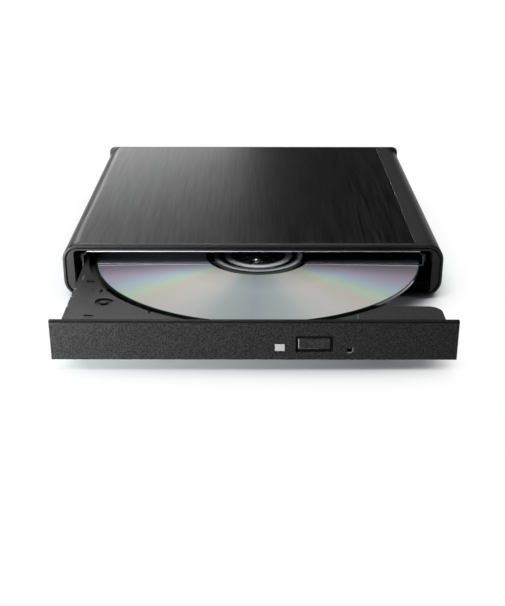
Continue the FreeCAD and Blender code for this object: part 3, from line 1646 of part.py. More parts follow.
def power_jack():
    """Round power socket with its centre pin."""
    body = make_body("power_jack", along=case_shift)
    back = case_back - 0.4
    inner = shell_back - s.spigot_length
    front = inner - 4.5
    extrude(body, "barrel", "XZ", front + 1, back, (jack_x, jack_z, s.jack_radius))
    block = box(jack_x - s.jack_radius, jack_x + s.jack_radius, usb_floor, jack_z + s.jack_radius)
    extrude(body, "block", "XZ", front, inner - 0.4, block)
    cut_out(body, "mouth", "XZ", inner, back, (jack_x, jack_z, s.jack_radius - 0.9))
    extrude(body, "centre_pin", "XZ", inner - 0.5, back - 0.8, (jack_x, jack_z, 0.6))
    return body


def tray_with_opening():
    """The tray, with the opening over the optical unit and the posts that carry it."""
    body = disc_tray()
    angle = math.radians(s.travel_angle)

    def turned_place(u, v):
        x = disc_x + u * math.cos(angle) - v * math.sin(angle)
        y = disc_y + u * math.sin(angle) + v * math.cos(angle)
        return x, y

    opening = [turned_place(u, v) for u, v in chassis_outline(3.0)]
    cut_out(body, "unit_opening", "XY", floor_under, well_floor, opening)
    posts = [many_sided(*turned_place(u, v), s.damper_bore) for u, v in lugs]
    extrude(body, "unit_posts", "XY", damper_low + 0.05, floor_under, *posts)
    holes = [screw_hole(*turned_place(u, v), 0.75, 8) for u, v in lugs]
    cut_out(body, "post_holes", "XY", damper_low + 0.05, damper_low + 1.7, *holes)
    return body


def build():
    """Every sub-part, in the order in which the drive is put together."""
    return [
        bottom_shell(),
        top_shell(),
        top_plate(),
        front_ring(),
        rear_cap(),
        rubber_feet(),
        case_screws(),
        bridge_board(),
        bridge_connector(),
        usb_socket(),
        power_jack(),
        drive_pan(),
        drive_cover(),
        drive_screws(),
        drive_board(),
        rear_connector(),
        latch_pin(),
        flex_cable(),
        rail_guide("left"),
        rail_guide("right"),
        slide_rail("left"),
        slide_rail("right"),
        tray_with_opening(),
        front_bezel(),
        status_lens(),
        tray_board(),
        eject_switch(),
        tray_bottom(),
        unit_chassis(),
        unit_cover(),
        unit_dampers(),
        unit_screws(),
        spindle_stator(),
        guide_rod("main_guide_rod", -1),
        guide_rod("far_guide_rod", 1),
        feed_motor(),
        lead_screw(),
        latch_solenoid(),
        latch_pivot(),
        latch_hook(),
        eject_button(),
        eject_plunger(),
        eject_spring(),
        turntable(),
        friction_ring(),
        clamp_hub(),
        hub_claws(),
        optical_disc(),
        pickup_sled(),
        objective_lens(),
    ]


pieces = build()
doc.recompute()
for item in doc.Objects:
    if {"Invalid", "Error"} & set(item.State):
        raise RuntimeError(f"{item.Label} did not build: {item.State}")
for piece in pieces:
    if piece.Shape.isNull() or not piece.Shape.isValid():
        raise RuntimeError(f"{piece.Label} has no sound shape")
os.makedirs("parts", exist_ok=True)
for piece in pieces:
    piece.Shape.exportStep(f"parts/{piece.Label}.step")
print(f"{len(pieces)} sub-parts written")
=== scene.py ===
"""A slim external disc drive with its tray part way out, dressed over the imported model. Metres, Z up."""
import math

import bmesh
import bpy
from mathutils import Matrix, Quaternion, Vector


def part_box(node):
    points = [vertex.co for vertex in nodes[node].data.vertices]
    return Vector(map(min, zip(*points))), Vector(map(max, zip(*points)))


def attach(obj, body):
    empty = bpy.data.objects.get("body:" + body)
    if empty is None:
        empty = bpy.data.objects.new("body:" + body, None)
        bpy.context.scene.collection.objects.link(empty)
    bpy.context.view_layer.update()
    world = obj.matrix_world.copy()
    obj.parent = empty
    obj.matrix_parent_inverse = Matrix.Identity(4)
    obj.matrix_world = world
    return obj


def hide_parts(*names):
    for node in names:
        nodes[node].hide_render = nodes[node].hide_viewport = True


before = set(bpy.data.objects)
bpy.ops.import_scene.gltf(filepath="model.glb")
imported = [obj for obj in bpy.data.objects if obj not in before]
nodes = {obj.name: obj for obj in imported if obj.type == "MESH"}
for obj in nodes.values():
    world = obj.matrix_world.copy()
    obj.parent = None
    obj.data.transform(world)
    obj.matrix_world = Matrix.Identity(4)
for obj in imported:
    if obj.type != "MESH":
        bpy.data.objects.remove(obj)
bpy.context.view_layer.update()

# Lower case shell: a tub of black ABS with a fine spark-eroded grain, injection moulded. The drive is
# screwed down on its bosses, and the upper shell sits on its rim.
MM = 0.001


class Wire:
    """A socket in a node tree. Sums and products of wires add Math nodes, and node() adds any other node."""

    def __init__(self, tree, socket=None):
        self.tree = tree
        self.socket = socket

    def node(self, kind, settings=None, sockets=None, out=0):
        """Add a node, set it up, feed its sockets with values or wires, and return one of its outputs."""
        made = self.tree.nodes.new(kind)
        for name, value in (settings or {}).items():
            if name == "stops":
                elements = made.color_ramp.elements
                while len(elements) > 1:
                    elements.remove(elements[-1])
                elements[0].position = value[0][0]
                elements[0].color = value[0][1]
                for place, colour in value[1:]:
                    elements.new(place).color = colour
            else:
                setattr(made, name, value)
        for name, value in (sockets or {}).items():
            if isinstance(value, Wire):
                self.tree.links.new(value.socket, made.inputs[name])
            else:
                made.inputs[name].default_value = value
        return Wire(self.tree, made.outputs[out] if made.outputs else None)

    def maths(self, operation, *values):
        return self.node("ShaderNodeMath", {"operation": operation}, dict(enumerate(values)))

    def __add__(self, other):
        return self.maths("ADD", self, other)

    def __radd__(self, other):
        return self.maths("ADD", other, self)

    def __sub__(self, other):
        return self.maths("SUBTRACT", self, other)

    def __rsub__(self, other):
        return self.maths("SUBTRACT", other, self)

    def __mul__(self, other):
        return self.maths("MULTIPLY", self, other)

    def __rmul__(self, other):
        return self.maths("MULTIPLY", other, self)

    def __truediv__(self, other):
        return self.maths("DIVIDE", self, other)

    def __lt__(self, other):
        return self.maths("LESS_THAN", self, other)

    def __gt__(self, other):
        return self.maths("GREATER_THAN", self, other)

    def __or__(self, other):
        return self.maths("MAXIMUM", self, other)

    def __abs__(self):
        return self.maths("ABSOLUTE", self)

    def blend(self, first, second):
        """The colour between two colours that this wire's value picks."""
        return self.node("ShaderNodeMix", {"data_type": "RGBA"}, {0: self, 6: first, 7: second}, 2)

    def times(self, shade):
        """This colour, darkened by another colour or a value."""
        settings = {"data_type": "RGBA", "blend_type": "MULTIPLY"}
        return self.node("ShaderNodeMix", settings, {0: 1.0, 6: self, 7: shade}, 2)

    def along(self, axis):
        """This vector's length along X, Y or Z."""
        return self.node("ShaderNodeSeparateXYZ", None, {0: self}, axis)

    def stretch(self, x, y, z):
        """This vector, scaled by a factor along each axis."""
        return self.node("ShaderNodeVectorMath", {"operation": "MULTIPLY"}, {0: self, 1: (x, y, z)})


def tone(red, green=None, blue=None):
    """A colour from its screen values of 0 to 255, or a grey from one value."""
    green = red if green is None else green
    blue = red if blue is None else blue
    return (*((value / 255) ** 2.2 for value in (red, green, blue)), 1)


class Finish:
    """A material with one Principled shader, whose constant sockets are set by name."""

    def __init__(self, name, **constants):
        self.material = bpy.data.materials.new(name)
        self.material.use_nodes = True
        tree = self.material.node_tree
        tree.nodes.clear()
        self.shader = tree.nodes.new("ShaderNodeBsdfPrincipled")
        self.output = tree.nodes.new("ShaderNodeOutputMaterial")
        tree.links.new(self.shader.outputs[0], self.output.inputs["Surface"])
        for socket, value in constants.items():
            self.shader.inputs[socket.replace("_", " ")].default_value = value
        self.place = Wire(tree).node("ShaderNodeTexCoord", out="Object")

    def feed(self, **wires):
        """Link wires to the shader's sockets."""
        for socket, wire in wires.items():
            wire.tree.links.new(wire.socket, self.shader.inputs[socket.replace("_", " ")])

    def noise(self, size, detail=2.0, place=None):
        """Cloudy noise whose lumps are about as wide as size."""
        place = place or self.place
        sockets = {"Vector": place, "Scale": 1 / size, "Detail": detail}
        return place.node("ShaderNodeTexNoise", None, sockets)

    def relief(self, height, depth):
        """Feed the normal with a height that stands for a real depth."""
        self.feed(Normal=height.node("ShaderNodeBump", None, {"Height": height, "Distance": depth}))


def sharper(value, contrast):
    """Spread a noise about its middle and clip it to 0 and 1."""
    settings = {"operation": "ADD", "use_clamp": True}
    return value.node("ShaderNodeMath", settings, {0: (value - 0.5) * contrast, 1: 0.5})


SPECKLE_CONTRAST = 2.6
CLOUD = 25 * MM


def moulded(name, dark, light, grain, depth, roughness, gloss=0.35):
    """A grained thermoplastic: speckled between two greys, with a fine relief and uneven gloss."""
    made = Finish(name, Specular_IOR_Level=gloss)
    speckle = sharper(made.noise(grain, 1.0), SPECKLE_CONTRAST)
    cloud = made.noise(CLOUD)
    made.feed(Base_Color=speckle.blend(dark, light), Roughness=roughness - 0.06 + 0.12 * cloud)
    made.relief(speckle, depth)
    return made


def settle(piece, finish, body, stands_for):
    """Put a new piece in the scene: its finish, the body it rides on and the node it stands for."""
    if not piece.data.materials:
        piece.data.materials.append(finish.material)
    if not piece.users_collection:
        bpy.context.scene.collection.objects.link(piece)
    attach(piece, body)
    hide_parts(stands_for)
    return piece


CREASE = math.radians(32)
FLAT = math.radians(0.4)
WELD = 0.001 * MM


def refine(name, finish, body, edge=0.12 * MM):
    """Stand in for a frame node with a welded copy: smooth curves, clean creases and broken edges."""
    shape = bmesh.new()
    shape.from_mesh(nodes[name].data)
    bmesh.ops.remove_doubles(shape, verts=shape.verts, dist=WELD)
    bmesh.ops.dissolve_limit(
        shape, angle_limit=FLAT, verts=shape.verts, edges=shape.edges, delimit=set(),
    )
    data = bpy.data.meshes.new(name + "_shape")
    shape.to_mesh(data)
    shape.free()
    data.shade_smooth()
    data.set_sharp_from_angle(angle=CREASE)
    piece = bpy.data.objects.new(name + "_piece", data)
    if edge:
        rounding = piece.modifiers.new("broken_edges", "BEVEL")
        rounding.width = edge
        rounding.segments = 2
        rounding.limit_method = "ANGLE"
        rounding.angle_limit = CREASE
        even = piece.modifiers.new("even_shading", "WEIGHTED_NORMAL")
        even.keep_sharp = True
    return settle(piece, finish, body, name)


case_black = moulded("case_black", tone(11), tone(24), 0.3 * MM, 0.012 * MM, 0.4)
refine("bottom_shell", case_black, "housing")


# Circuit boards: the bridge board behind the drive, the drive's own board and the small one behind the
# bezel. Each is green lacquered glass-fibre with etched copper tracks, held by its screws or clips.


def paint(finish, *names):
    """Give frame nodes whose shape is right a finish."""
    for name in names:
        nodes[name].data.materials.clear()
        nodes[name].data.materials.append(finish.material)


board_green = Finish("solder_mask", Roughness=0.3, Coat_Weight=0.3)
tracks = board_green.place.node(
    "ShaderNodeTexVoronoi", {"feature": "DISTANCE_TO_EDGE"},
    {"Vector": board_green.place, "Scale": 450.0},
)
copper = tracks < 0.06
board_green.feed(Base_Color=copper.blend(tone(22, 74, 40), tone(46, 110, 62)))
board_green.relief(copper, 0.02 * MM)
paint(board_green, "bridge_board", "drive_board", "tray_board")

# Connectors: the plug and socket between the two boards, the round power jack in the back of the case and
# the eject switch, all moulded in black glass-filled nylon and soldered to their boards.
socket_black = moulded("socket_black", tone(22), tone(30), 0.2 * MM, 0.004 * MM, 0.42)
paint(socket_black, "bridge_connector", "rear_connector")
refine("power_jack", socket_black, "housing", 0.1 * MM)
refine("eject_switch", socket_black, "tray", None)

# Data socket: a shell folded from tin-plated steel strip, soldered to the bridge board by its tabs and
# seen in the opening of the rear cap.
tin = Finish("tin_plate", Metallic=1.0)
tin_cloud = tin.noise(1.5 * MM, 4.0)
tin.feed(Base_Color=tin_cloud.blend(tone(176), tone(208)), Roughness=0.24 + 0.16 * tin_cloud)
refine("usb_socket", tin, "housing", 0.05 * MM)

# Drive pan and tray plate: pressed from zinc-plated sheet steel, with the rolling lines of the sheet along
# the drive. The pan is screwed to the lower shell, and the plate closes the tray from below.
sheet_steel = Finish("zinc_sheet", Metallic=1.0)
ROLLED = (1, 0.03, 1)
ROLLING = 0.35 * MM
rolling = sheet_steel.noise(ROLLING, 3.0, sheet_steel.place.stretch(*ROLLED))
stain = sheet_steel.noise(14 * MM, 3.0)
sheet_steel.feed(
    Base_Color=stain.blend(tone(150, 152, 154), tone(182, 184, 186)),
    Roughness=0.26 + 0.14 * rolling,
)
sheet_steel.relief(rolling, 0.004 * MM)
paint(sheet_steel, "tray_bottom")
# the pan is given a much darker grey than the tray's plate
pan_steel = Finish("pan_sheet", Metallic=1.0)
pan_rolling = pan_steel.noise(ROLLING, 3.0, pan_steel.place.stretch(*ROLLED))
pan_steel.feed(Base_Color=pan_rolling.blend(tone(52), tone(84)), Roughness=0.32 + 0.14 * pan_rolling)
refine("drive_pan", pan_steel, "housing", 0.08 * MM)

# Drive cover: the same sheet steel, screwed on the pan's rear tabs, here in a dark grey. Its sheared front
# edge is bare, and along the top behind the ring it carries a painted highlight, light grey and not
# metallic.
cover_low, cover_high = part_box("drive_cover")
EDGE_DEPTH = 0.15 * MM
EDGE_HEIGHT = 0.2 * MM
EDGE_END = 2.4 * MM
cover_steel = Finish("cover_sheet", Roughness=0.4)
lines = cover_steel.noise(ROLLING, 3.0, cover_steel.place.stretch(*ROLLED))
# painted highlight: the top of the bare sheared front edge, light grey behind the ring
sheared_highlight = (
    (cover_steel.place.along("Y") < cover_low.y + EDGE_DEPTH)
    * (cover_steel.place.along("Z") > cover_high.z - EDGE_HEIGHT)
    * (abs(cover_steel.place.along("X")) < cover_high.x - EDGE_END)
)
cover_steel.feed(
    Base_Color=sheared_highlight.blend(lines.blend(tone(30), tone(52)), tone(176, 184, 186)),
    Metallic=1 - sheared_highlight,
)
refine("drive_cover", cover_steel, "housing", None)

# Cover of the optical unit: thin black-lacquered sheet steel round the turntable and the sled's slot,
# clipped over the unit from above. Its black also serves as painted shade in the gap beside the disc's edge.
shaded_black_sheet = moulded("shaded_black_sheet", tone(14), tone(24), 0.4 * MM, 0.004 * MM, 0.4, 0.4)
refine("unit_cover", shaded_black_sheet, "tray", None)

# Screws: blackened steel pan-head screws with a cross recess. Four hold the drive to the lower shell, two
# the drive's cover and the rest the optical unit on its bushes.
screw_steel = Finish("blackened_screw", Metallic=1.0)
screw_cloud = screw_steel.noise(0.6 * MM)
screw_steel.feed(Base_Color=screw_cloud.blend(tone(56), tone(92)), Roughness=0.3 + 0.2 * screw_cloud)


def screw_tree():
    """Pan-head screws with a cross recess at the corners of a mesh, the head below and the shank above."""
    tree = bpy.data.node_groups.new("cross_screws", "GeometryNodeTree")
    face = tree.interface
    face.new_socket(name="Places", in_out="INPUT", socket_type="NodeSocketGeometry")
    for size in ("Head radius", "Head height", "Shank radius", "Shank length", "Upside down"):
        face.new_socket(name=size, in_out="INPUT", socket_type="NodeSocketFloat")
    face.new_socket(name="Metal", in_out="INPUT", socket_type="NodeSocketMaterial")
    face.new_socket(name="Screws", in_out="OUTPUT", socket_type="NodeSocketGeometry")
    start = Wire(tree).node("NodeGroupInput")

    def given(name):
        return Wire(tree, start.socket.node.outputs[name])

    def lifted(mesh, height):
        place = start.node("ShaderNodeCombineXYZ", None, {"Z": height})
        return start.node("GeometryNodeTransform", None, {"Geometry": mesh, "Translation": place})

    head = start.node(
        "GeometryNodeMeshCone", None,
        {"Vertices": 32, "Side Segments": 3, "Radius Top": given("Head radius"),
         "Radius Bottom": given("Head radius") * 0.78, "Depth": given("Head height")},
    )
    for turn in (0, 1):
        arm = start.node("ShaderNodeCombineXYZ", None, {
            "XY"[turn]: given("Head radius") * 1.05,
            "YX"[turn]: given("Head radius") * 0.26,
            "Z": given("Head height") * 0.9,
        })
        bar = lifted(start.node("GeometryNodeMeshCube", None, {"Size": arm}), given("Head height") * -0.1)
        head = start.node(
            "GeometryNodeMeshBoolean", {"operation": "DIFFERENCE", "solver": "EXACT"},
            {"Mesh 1": head, "Mesh 2": bar},
        )
    shank = start.node(
        "GeometryNodeMeshCylinder", None,
        {"Vertices": 20, "Radius": given("Shank radius"), "Depth": given("Shank length")},
    )
    whole = start.node("GeometryNodeJoinGeometry")
    for part in (head, lifted(shank, (given("Head height") + given("Shank length")) * 0.5)):
        tree.links.new(part.socket, whole.socket.node.inputs[0])
    flip = start.node("ShaderNodeCombineXYZ", None, {"X": given("Upside down") * math.pi})
    screws = start.node(
        "GeometryNodeInstanceOnPoints", None,
        {"Points": given("Places"), "Instance": whole, "Rotation": flip},
    )
    real = start.node("GeometryNodeRealizeInstances", None, {"Geometry": screws})
    metal = start.node("GeometryNodeSetMaterial", None, {"Geometry": real, "Material": given("Metal")})
    start.node("NodeGroupOutput", None, {"Screws": metal})
    return tree


screws_tree = screw_tree()


def grown(name, tree, base, values):
    """Run a geometry tree on a base mesh with values for its named inputs, and keep the result as a mesh."""
    holder = bpy.data.objects.new(name + "_holder", base)
    bpy.context.scene.collection.objects.link(holder)
    run = holder.modifiers.new("tree", "NODES")
    run.node_group = tree
    for item in tree.interface.items_tree:
        if item.in_out == "INPUT" and item.name in values:
            run[item.identifier] = values[item.name]
    graph = bpy.context.evaluated_depsgraph_get()
    data = bpy.data.meshes.new_from_object(holder.evaluated_get(graph))
    holder.modifiers.clear()
    bpy.data.objects.remove(holder)
    data.name = name
    data.shade_smooth()
    data.set_sharp_from_angle(angle=CREASE)
    return bpy.data.objects.new(name, data)


def islands(name):
    """The boxes of a node's separate solids, as (lowest corner, highest corner)."""
    shape = bmesh.new()
    shape.from_mesh(nodes[name].data)
    bmesh.ops.remove_doubles(shape, verts=shape.verts, dist=WELD)
    left = set(shape.verts)
    boxes = []
    while left:
        batch = [left.pop()]
        group = list(batch)
        while batch:
            for edge in batch.pop().link_edges:
                for vertex in edge.verts:
                    if vertex in left:
                        left.remove(vertex)
                        batch.append(vertex)
                        group.append(vertex)
        low = Vector(min(vertex.co[k] for vertex in group) for k in range(3))
        high = Vector(max(vertex.co[k] for vertex in group) for k in range(3))
        boxes.append((low, high))
    shape.free()
    return sorted(boxes, key=lambda pair: tuple(pair[0]))


def cross_screws(name, body, head_height, shank_radius, head_up=False):
    """Screws with cross recesses in place of a node's plain ones."""
    boxes = islands(name)
    points = []
    for low, high in boxes:
        height = high.z - head_height / 2 if head_up else low.z + head_height / 2
        points.append(((low.x + high.x) / 2, (low.y + high.y) / 2, height))
    places = bpy.data.meshes.new(name + "_places")
    places.from_pydata(points, [], [])
    low, high = boxes[0]
    piece = grown(name + "_piece", screws_tree, places, {
        "Head radius": (high.x - low.x) / 2,
        "Head height": head_height,
        "Shank radius": shank_radius,
        "Shank length": high.z - low.z - head_height,
        "Upside down": 1.0 if head_up else 0.0,
        "Metal": screw_steel.material,
    })
    settle(piece, screw_steel, body, name)


cross_screws("case_screws", "housing", 0.9 * MM, 0.95 * MM)
cross_screws("drive_screws", "housing", 0.5 * MM, 0.75 * MM, head_up=True)
cross_screws("unit_screws", "tray", 0.8 * MM, 0.7 * MM)

# Rail guides: channels moulded in natural acetal, which is slippery and needs no oil, clipped to the two
# side walls of the pan.
acetal = moulded("acetal", tone(196, 196, 190), tone(212, 211, 205), 0.5 * MM, 0.006 * MM, 0.45)
paint(acetal, "left_rail_guide", "right_rail_guide")

# Slide rails: rolled steel strip with a film of grease. They run in the guides, and the tray's tongues run
# in them, so each goes half as far as the tray.
rail_steel = Finish("greased_rail", Metallic=1.0)
grease = rail_steel.noise(4 * MM, 4.0, rail_steel.place.stretch(1, 0.25, 1))
rail_steel.feed(Base_Color=grease.blend(tone(150), tone(186)), Roughness=0.2 + 0.25 * grease)
for hand in ("left", "right"):
    refine(hand + "_slide_rail", rail_steel, hand + "_rail", 0.06 * MM)

# Ribbon: amber polyimide film with etched copper lines inside, folded once under the tray. One end plugs
# into the drive's board and the other into the tray.
LINE_PITCH = 0.25 * MM
LINE_WIDTH = 0.12 * MM
film = Finish("ribbon_film", Roughness=0.35, Coat_Weight=0.2)
line = film.place.maths("PINGPONG", film.place.along("X"), LINE_PITCH) < LINE_WIDTH
film.feed(Base_Color=line.blend(tone(150, 96, 40), tone(196, 140, 74)))
paint(film, "flex_cable")

# Disc tray: charcoal ABS with a coarse matt grain, injection moulded in one piece with the round well for
# the disc and small slots and marks in its deck. It slides on the two rails.
tray_grey = moulded("tray_grey", tone(4), tone(54), 0.46 * MM, 0.06 * MM, 0.5, 0.2)


def within(value, low, high):
    """1 where a wire lies between two values, else 0."""
    return (value > low) * (value < high)


def marked(finish, mask, colour):
    """Blend a finish's colour to another where a mask is 1."""
    links = finish.shader.inputs["Base Color"].links
    finish.feed(Base_Color=mask.blend(Wire(mask.tree, links[0].from_socket), colour))


deck = {axis: tray_grey.place.along(axis) for axis in "XYZ"}
DECK_LOWEST = 15.0 * MM


def patch(left, right, front, back):
    """1 on the deck between two widths and two depths, in millimetres."""
    on_deck = deck["Z"] > DECK_LOWEST
    return within(deck["X"], left * MM, right * MM) * within(deck["Y"], front * MM, back * MM) * on_deck


# painted marks on the deck: a painted highlight on a rib's edge by the case and on the stub's edge, and
# two moulded slots painted near black as painted shade
for left, right, front, back, colour in (
    (-60.5, -60.15, -58.6, -54.6, tone(120)),
    (34.1, 34.5, -91.6, -86.8, tone(86, 92, 86)),
    (-58.9, -56.2, -60.4, -58.4, tone(2)),
    (-55.6, -54.9, -70.0, -65.8, tone(2)),
):
    marked(tray_grey, patch(left, right, front, back), colour)
refine("disc_tray", tray_grey, "tray", 0.15 * MM)

# Chassis, motors and turntable: pressed and turned steel with a dull plated surface. The chassis hangs
# from the tray on rubber bushes and carries the spindle motor, the feed motor and the sled.
motor_steel = Finish("motor_steel", Metallic=1.0)
motor_cloud = motor_steel.noise(1.2 * MM, 3.0)
motor_steel.feed(Base_Color=motor_cloud.blend(tone(120), tone(160)), Roughness=0.3 + 0.15 * motor_cloud)
paint(motor_steel, "latch_solenoid")
for name in ("unit_chassis", "spindle_stator", "feed_motor"):
    refine(name, motor_steel, "tray", 0.05 * MM)
refine("turntable", motor_steel, "spindle", 0.15 * MM)

# Rods, pins and plunger: ground and polished steel wire, cut to length and pressed or clipped into their
# seats. The sled runs on the two rods, and the hook turns on its pivot.
ground_steel = Finish("ground_steel", Metallic=1.0)
grinding = ground_steel.noise(0.3 * MM)
ground_steel.feed(Base_Color=grinding.blend(tone(200), tone(222)), Roughness=0.1 + 0.08 * grinding)
for name, body in (
    ("main_guide_rod", "tray"),
    ("far_guide_rod", "tray"),
    ("latch_pin", "housing"),
    ("latch_pivot", "tray"),
    ("eject_plunger", "plunger"),
):
    refine(name, ground_steel, body, 0.08 * MM)

# Lead screw: a steel rod with one coarse rolled thread. It sits in the feed motor and a bearing, and its
# turns drive the sled along the rods.
THREAD_PITCH = 2.0 * MM
THREAD_TOP = 0.98
THREAD_CORE = 0.72

def thread_tree():
    """A round rod with one raised thread wound round it, from the floor up."""
    tree = bpy.data.node_groups.new("lead_thread", "GeometryNodeTree")
    face = tree.interface
    face.new_socket(name="Base", in_out="INPUT", socket_type="NodeSocketGeometry")
    for size in ("Outer radius", "Core radius", "Length", "Pitch"):
        face.new_socket(name=size, in_out="INPUT", socket_type="NodeSocketFloat")
    face.new_socket(name="Metal", in_out="INPUT", socket_type="NodeSocketMaterial")
    face.new_socket(name="Screw", in_out="OUTPUT", socket_type="NodeSocketGeometry")
    start = Wire(tree).node("NodeGroupInput")

    def given(name):
        return Wire(tree, start.socket.node.outputs[name])

    ridge = (given("Outer radius") - given("Core radius")) * 0.55
    turns = given("Length") / given("Pitch") - 1.0
    winding = start.node("GeometryNodeCurveSpiral", None, {
        "Resolution": 24, "Rotations": turns, "Start Radius": given("Outer radius") - ridge,
        "End Radius": given("Outer radius") - ridge, "Height": given("Length") - given("Pitch"),
    })
    section = start.node("GeometryNodeCurvePrimitiveCircle", None, {"Resolution": 5, "Radius": ridge})
    thread = start.node(
        "GeometryNodeCurveToMesh", None, {"Curve": winding, "Profile Curve": section, "Fill Caps": True},
    )
    lift = start.node("ShaderNodeCombineXYZ", None, {"Z": given("Pitch") * 0.5})
    thread = start.node("GeometryNodeTransform", None, {"Geometry": thread, "Translation": lift})
    rod = start.node(
        "GeometryNodeMeshCylinder", None,
        {"Vertices": 32, "Radius": given("Core radius"), "Depth": given("Length")},
    )
    middle = start.node("ShaderNodeCombineXYZ", None, {"Z": given("Length") * 0.5})
    rod = start.node("GeometryNodeTransform", None, {"Geometry": rod, "Translation": middle})
    whole = start.node("GeometryNodeJoinGeometry")
    for part in (thread, rod):
        tree.links.new(part.socket, whole.socket.node.inputs[0])
    real = start.node("GeometryNodeRealizeInstances", None, {"Geometry": whole})
    metal = start.node("GeometryNodeSetMaterial", None, {"Geometry": real, "Material": given("Metal")})
    start.node("NodeGroupOutput", None, {"Screw": metal})
    return tree


screw_low, screw_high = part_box("lead_screw")
screw_radius = (screw_high.z - screw_low.z) / 2
screw_length = (screw_high.x - screw_low.x) * math.sqrt(2) - 2 * screw_radius
lead_screw = grown("lead_screw_piece", thread_tree(), bpy.data.meshes.new("screw_base"), {
    "Outer radius": screw_radius * THREAD_TOP,
    "Core radius": screw_radius * THREAD_CORE,
    "Length": screw_length,
    "Pitch": THREAD_PITCH,
    "Metal": ground_steel.material,
})
to_middle = Matrix.Translation((screw_low + screw_high) / 2)
to_rod = Matrix.Rotation(math.radians(45), 4, "Z") @ Matrix.Rotation(math.radians(90), 4, "Y")
centred = Matrix.Translation((0, 0, -screw_length / 2))
lead_screw.data.transform(to_middle @ to_rod @ centred)
settle(lead_screw, ground_steel, "screw", "lead_screw")

# Pickup sled: die-cast zinc with a dull skin. It carries the lens on the two rods, and a tooth of it rides
# in the lead screw's thread.
cast = Finish("die_cast", Metallic=0.9)
skin = cast.noise(0.5 * MM, 4.0)
cast.feed(Base_Color=skin.blend(tone(110), tone(148)), Roughness=0.4 + 0.2 * skin)
cast.relief(skin, 0.03 * MM)
refine("pickup_sled", cast, "pickup", 0.15 * MM)

# Objective lens: moulded clear glass with a violet coating, glued in the top of the sled under the disc's
# tracks.
coated = Finish("coated_lens", Roughness=0.04, Coat_Weight=1.0, Coat_Roughness=0.02)
bloom = coated.noise(1.4 * MM)
coated.feed(Base_Color=bloom.blend(tone(30, 24, 74), tone(60, 52, 130)))
refine("objective_lens", coated, "pickup", 0.1 * MM)

# Rubber pieces: moulded black rubber. The dampers sit between tray and chassis, the friction ring is glued
# on the turntable, and the feet are pressed into the lower shell.
rubber = moulded("rubber", tone(28), tone(38), 0.3 * MM, 0.02 * MM, 0.85, 0.2)
refine("unit_dampers", rubber, "tray", 0.2 * MM)
refine("friction_ring", rubber, "spindle", 0.1 * MM)
refine("rubber_feet", rubber, "housing", 0.2 * MM)

# Clamp hub and claws: a polished black dome of glossy ABS, pressed on the turntable, with three sprung
# claws of the same plastic that hold the disc down.
hub_black = moulded("hub_black", tone(10), tone(16), 1.0 * MM, 0.001 * MM, 0.2, 0.8)
hub_black.shader.inputs["Coat Weight"].default_value = 1.0
hub_black.shader.inputs["Coat Roughness"].default_value = 0.19
hub_low, hub_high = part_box("clamp_hub")
hub_middle = (hub_low + hub_high) / 2
SHOULDER_START = 4.9 * MM
SHOULDER_END = 6.5 * MM
SHOULDER_DROP = 1.1 * MM
DIMPLE_RADIUS = 2.4 * MM
DIMPLE_DEPTH = 0.5 * MM
LONGEST_SPAN = 0.45 * MM


def eased(part):
    """A value held between 0 and 1, with a soft start and end."""
    part = min(max(part, 0), 1)
    return part * part * (3 - 2 * part)


def domed(name):
    """Round a hub node's flat top down to its rim, with a dimple in the middle."""
    piece = refine(name, hub_black, "spindle", None)
    shape = bmesh.new()
    shape.from_mesh(piece.data)
    top = max(vertex.co.z for vertex in shape.verts) - WELD

    def lid():
        faces = [face for face in shape.faces if min(vertex.co.z for vertex in face.verts) > top]
        return bmesh.ops.triangulate(shape, faces=faces)["faces"]

    faces = lid()
    for halving in range(4):
        spans = {edge for face in faces for edge in face.edges if edge.calc_length() > LONGEST_SPAN}
        bmesh.ops.subdivide_edges(shape, edges=list(spans), cuts=1, use_grid_fill=True)
        faces = lid()
    for vertex in shape.verts:
        if vertex.co.z > top:
            away = math.hypot(vertex.co.x - hub_middle.x, vertex.co.y - hub_middle.y)
            fall = SHOULDER_DROP * eased((away - SHOULDER_START) / (SHOULDER_END - SHOULDER_START))
            vertex.co.z -= fall + DIMPLE_DEPTH * eased(1 - away / DIMPLE_RADIUS)
    shape.to_mesh(piece.data)
    shape.free()
    piece.data.shade_smooth()
    piece.data.set_sharp_from_angle(angle=CREASE)


domed("clamp_hub")
domed("hub_claws")

# Disc: 120 mm polycarbonate, clear at the hub with a stacking ring, and a mirror layer outside it whose
# track grooves split the light into fans of colour, which are painted on it as a painted reflection. It is
# spun from one profile.
disc_low, disc_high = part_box("optical_disc")
disc_centre = (disc_low + disc_high) / 2
disc_radius = (disc_high.x - disc_low.x) / 2
BORE = 7.5 * MM
RING_RADIUS = 16.4 * MM
RING_HALF = 0.5 * MM
RING_RISE = 0.12 * MM
BEVEL = 0.12 * MM
MIRROR_START = 19.6 * MM
MIRROR_END = disc_radius - 0.35 * MM
STEPS = 256


def spun(name, profile, centre):
    """Turn a closed profile of (radius, height) corners about an upright axis."""
    mesh = bmesh.new()
    rings = []
    for step in range(STEPS):
        angle = 2 * math.pi * step / STEPS
        way = Vector((math.cos(angle), math.sin(angle), 0))
        rings.append([
            mesh.verts.new(Vector((centre.x, centre.y, height)) + way * reach) for reach, height in profile
        ])
    for step in range(STEPS):
        here, after = rings[step], rings[(step + 1) % STEPS]
        for k in range(len(profile)):
            far = (k + 1) % len(profile)
            mesh.faces.new((here[k], after[k], after[far], here[far]))
    bmesh.ops.recalc_face_normals(mesh, faces=mesh.faces)
    data = bpy.data.meshes.new(name)
    mesh.to_mesh(data)
    mesh.free()
    data.shade_smooth()
    data.set_sharp_from_angle(angle=CREASE)
    return bpy.data.objects.new(name, data)


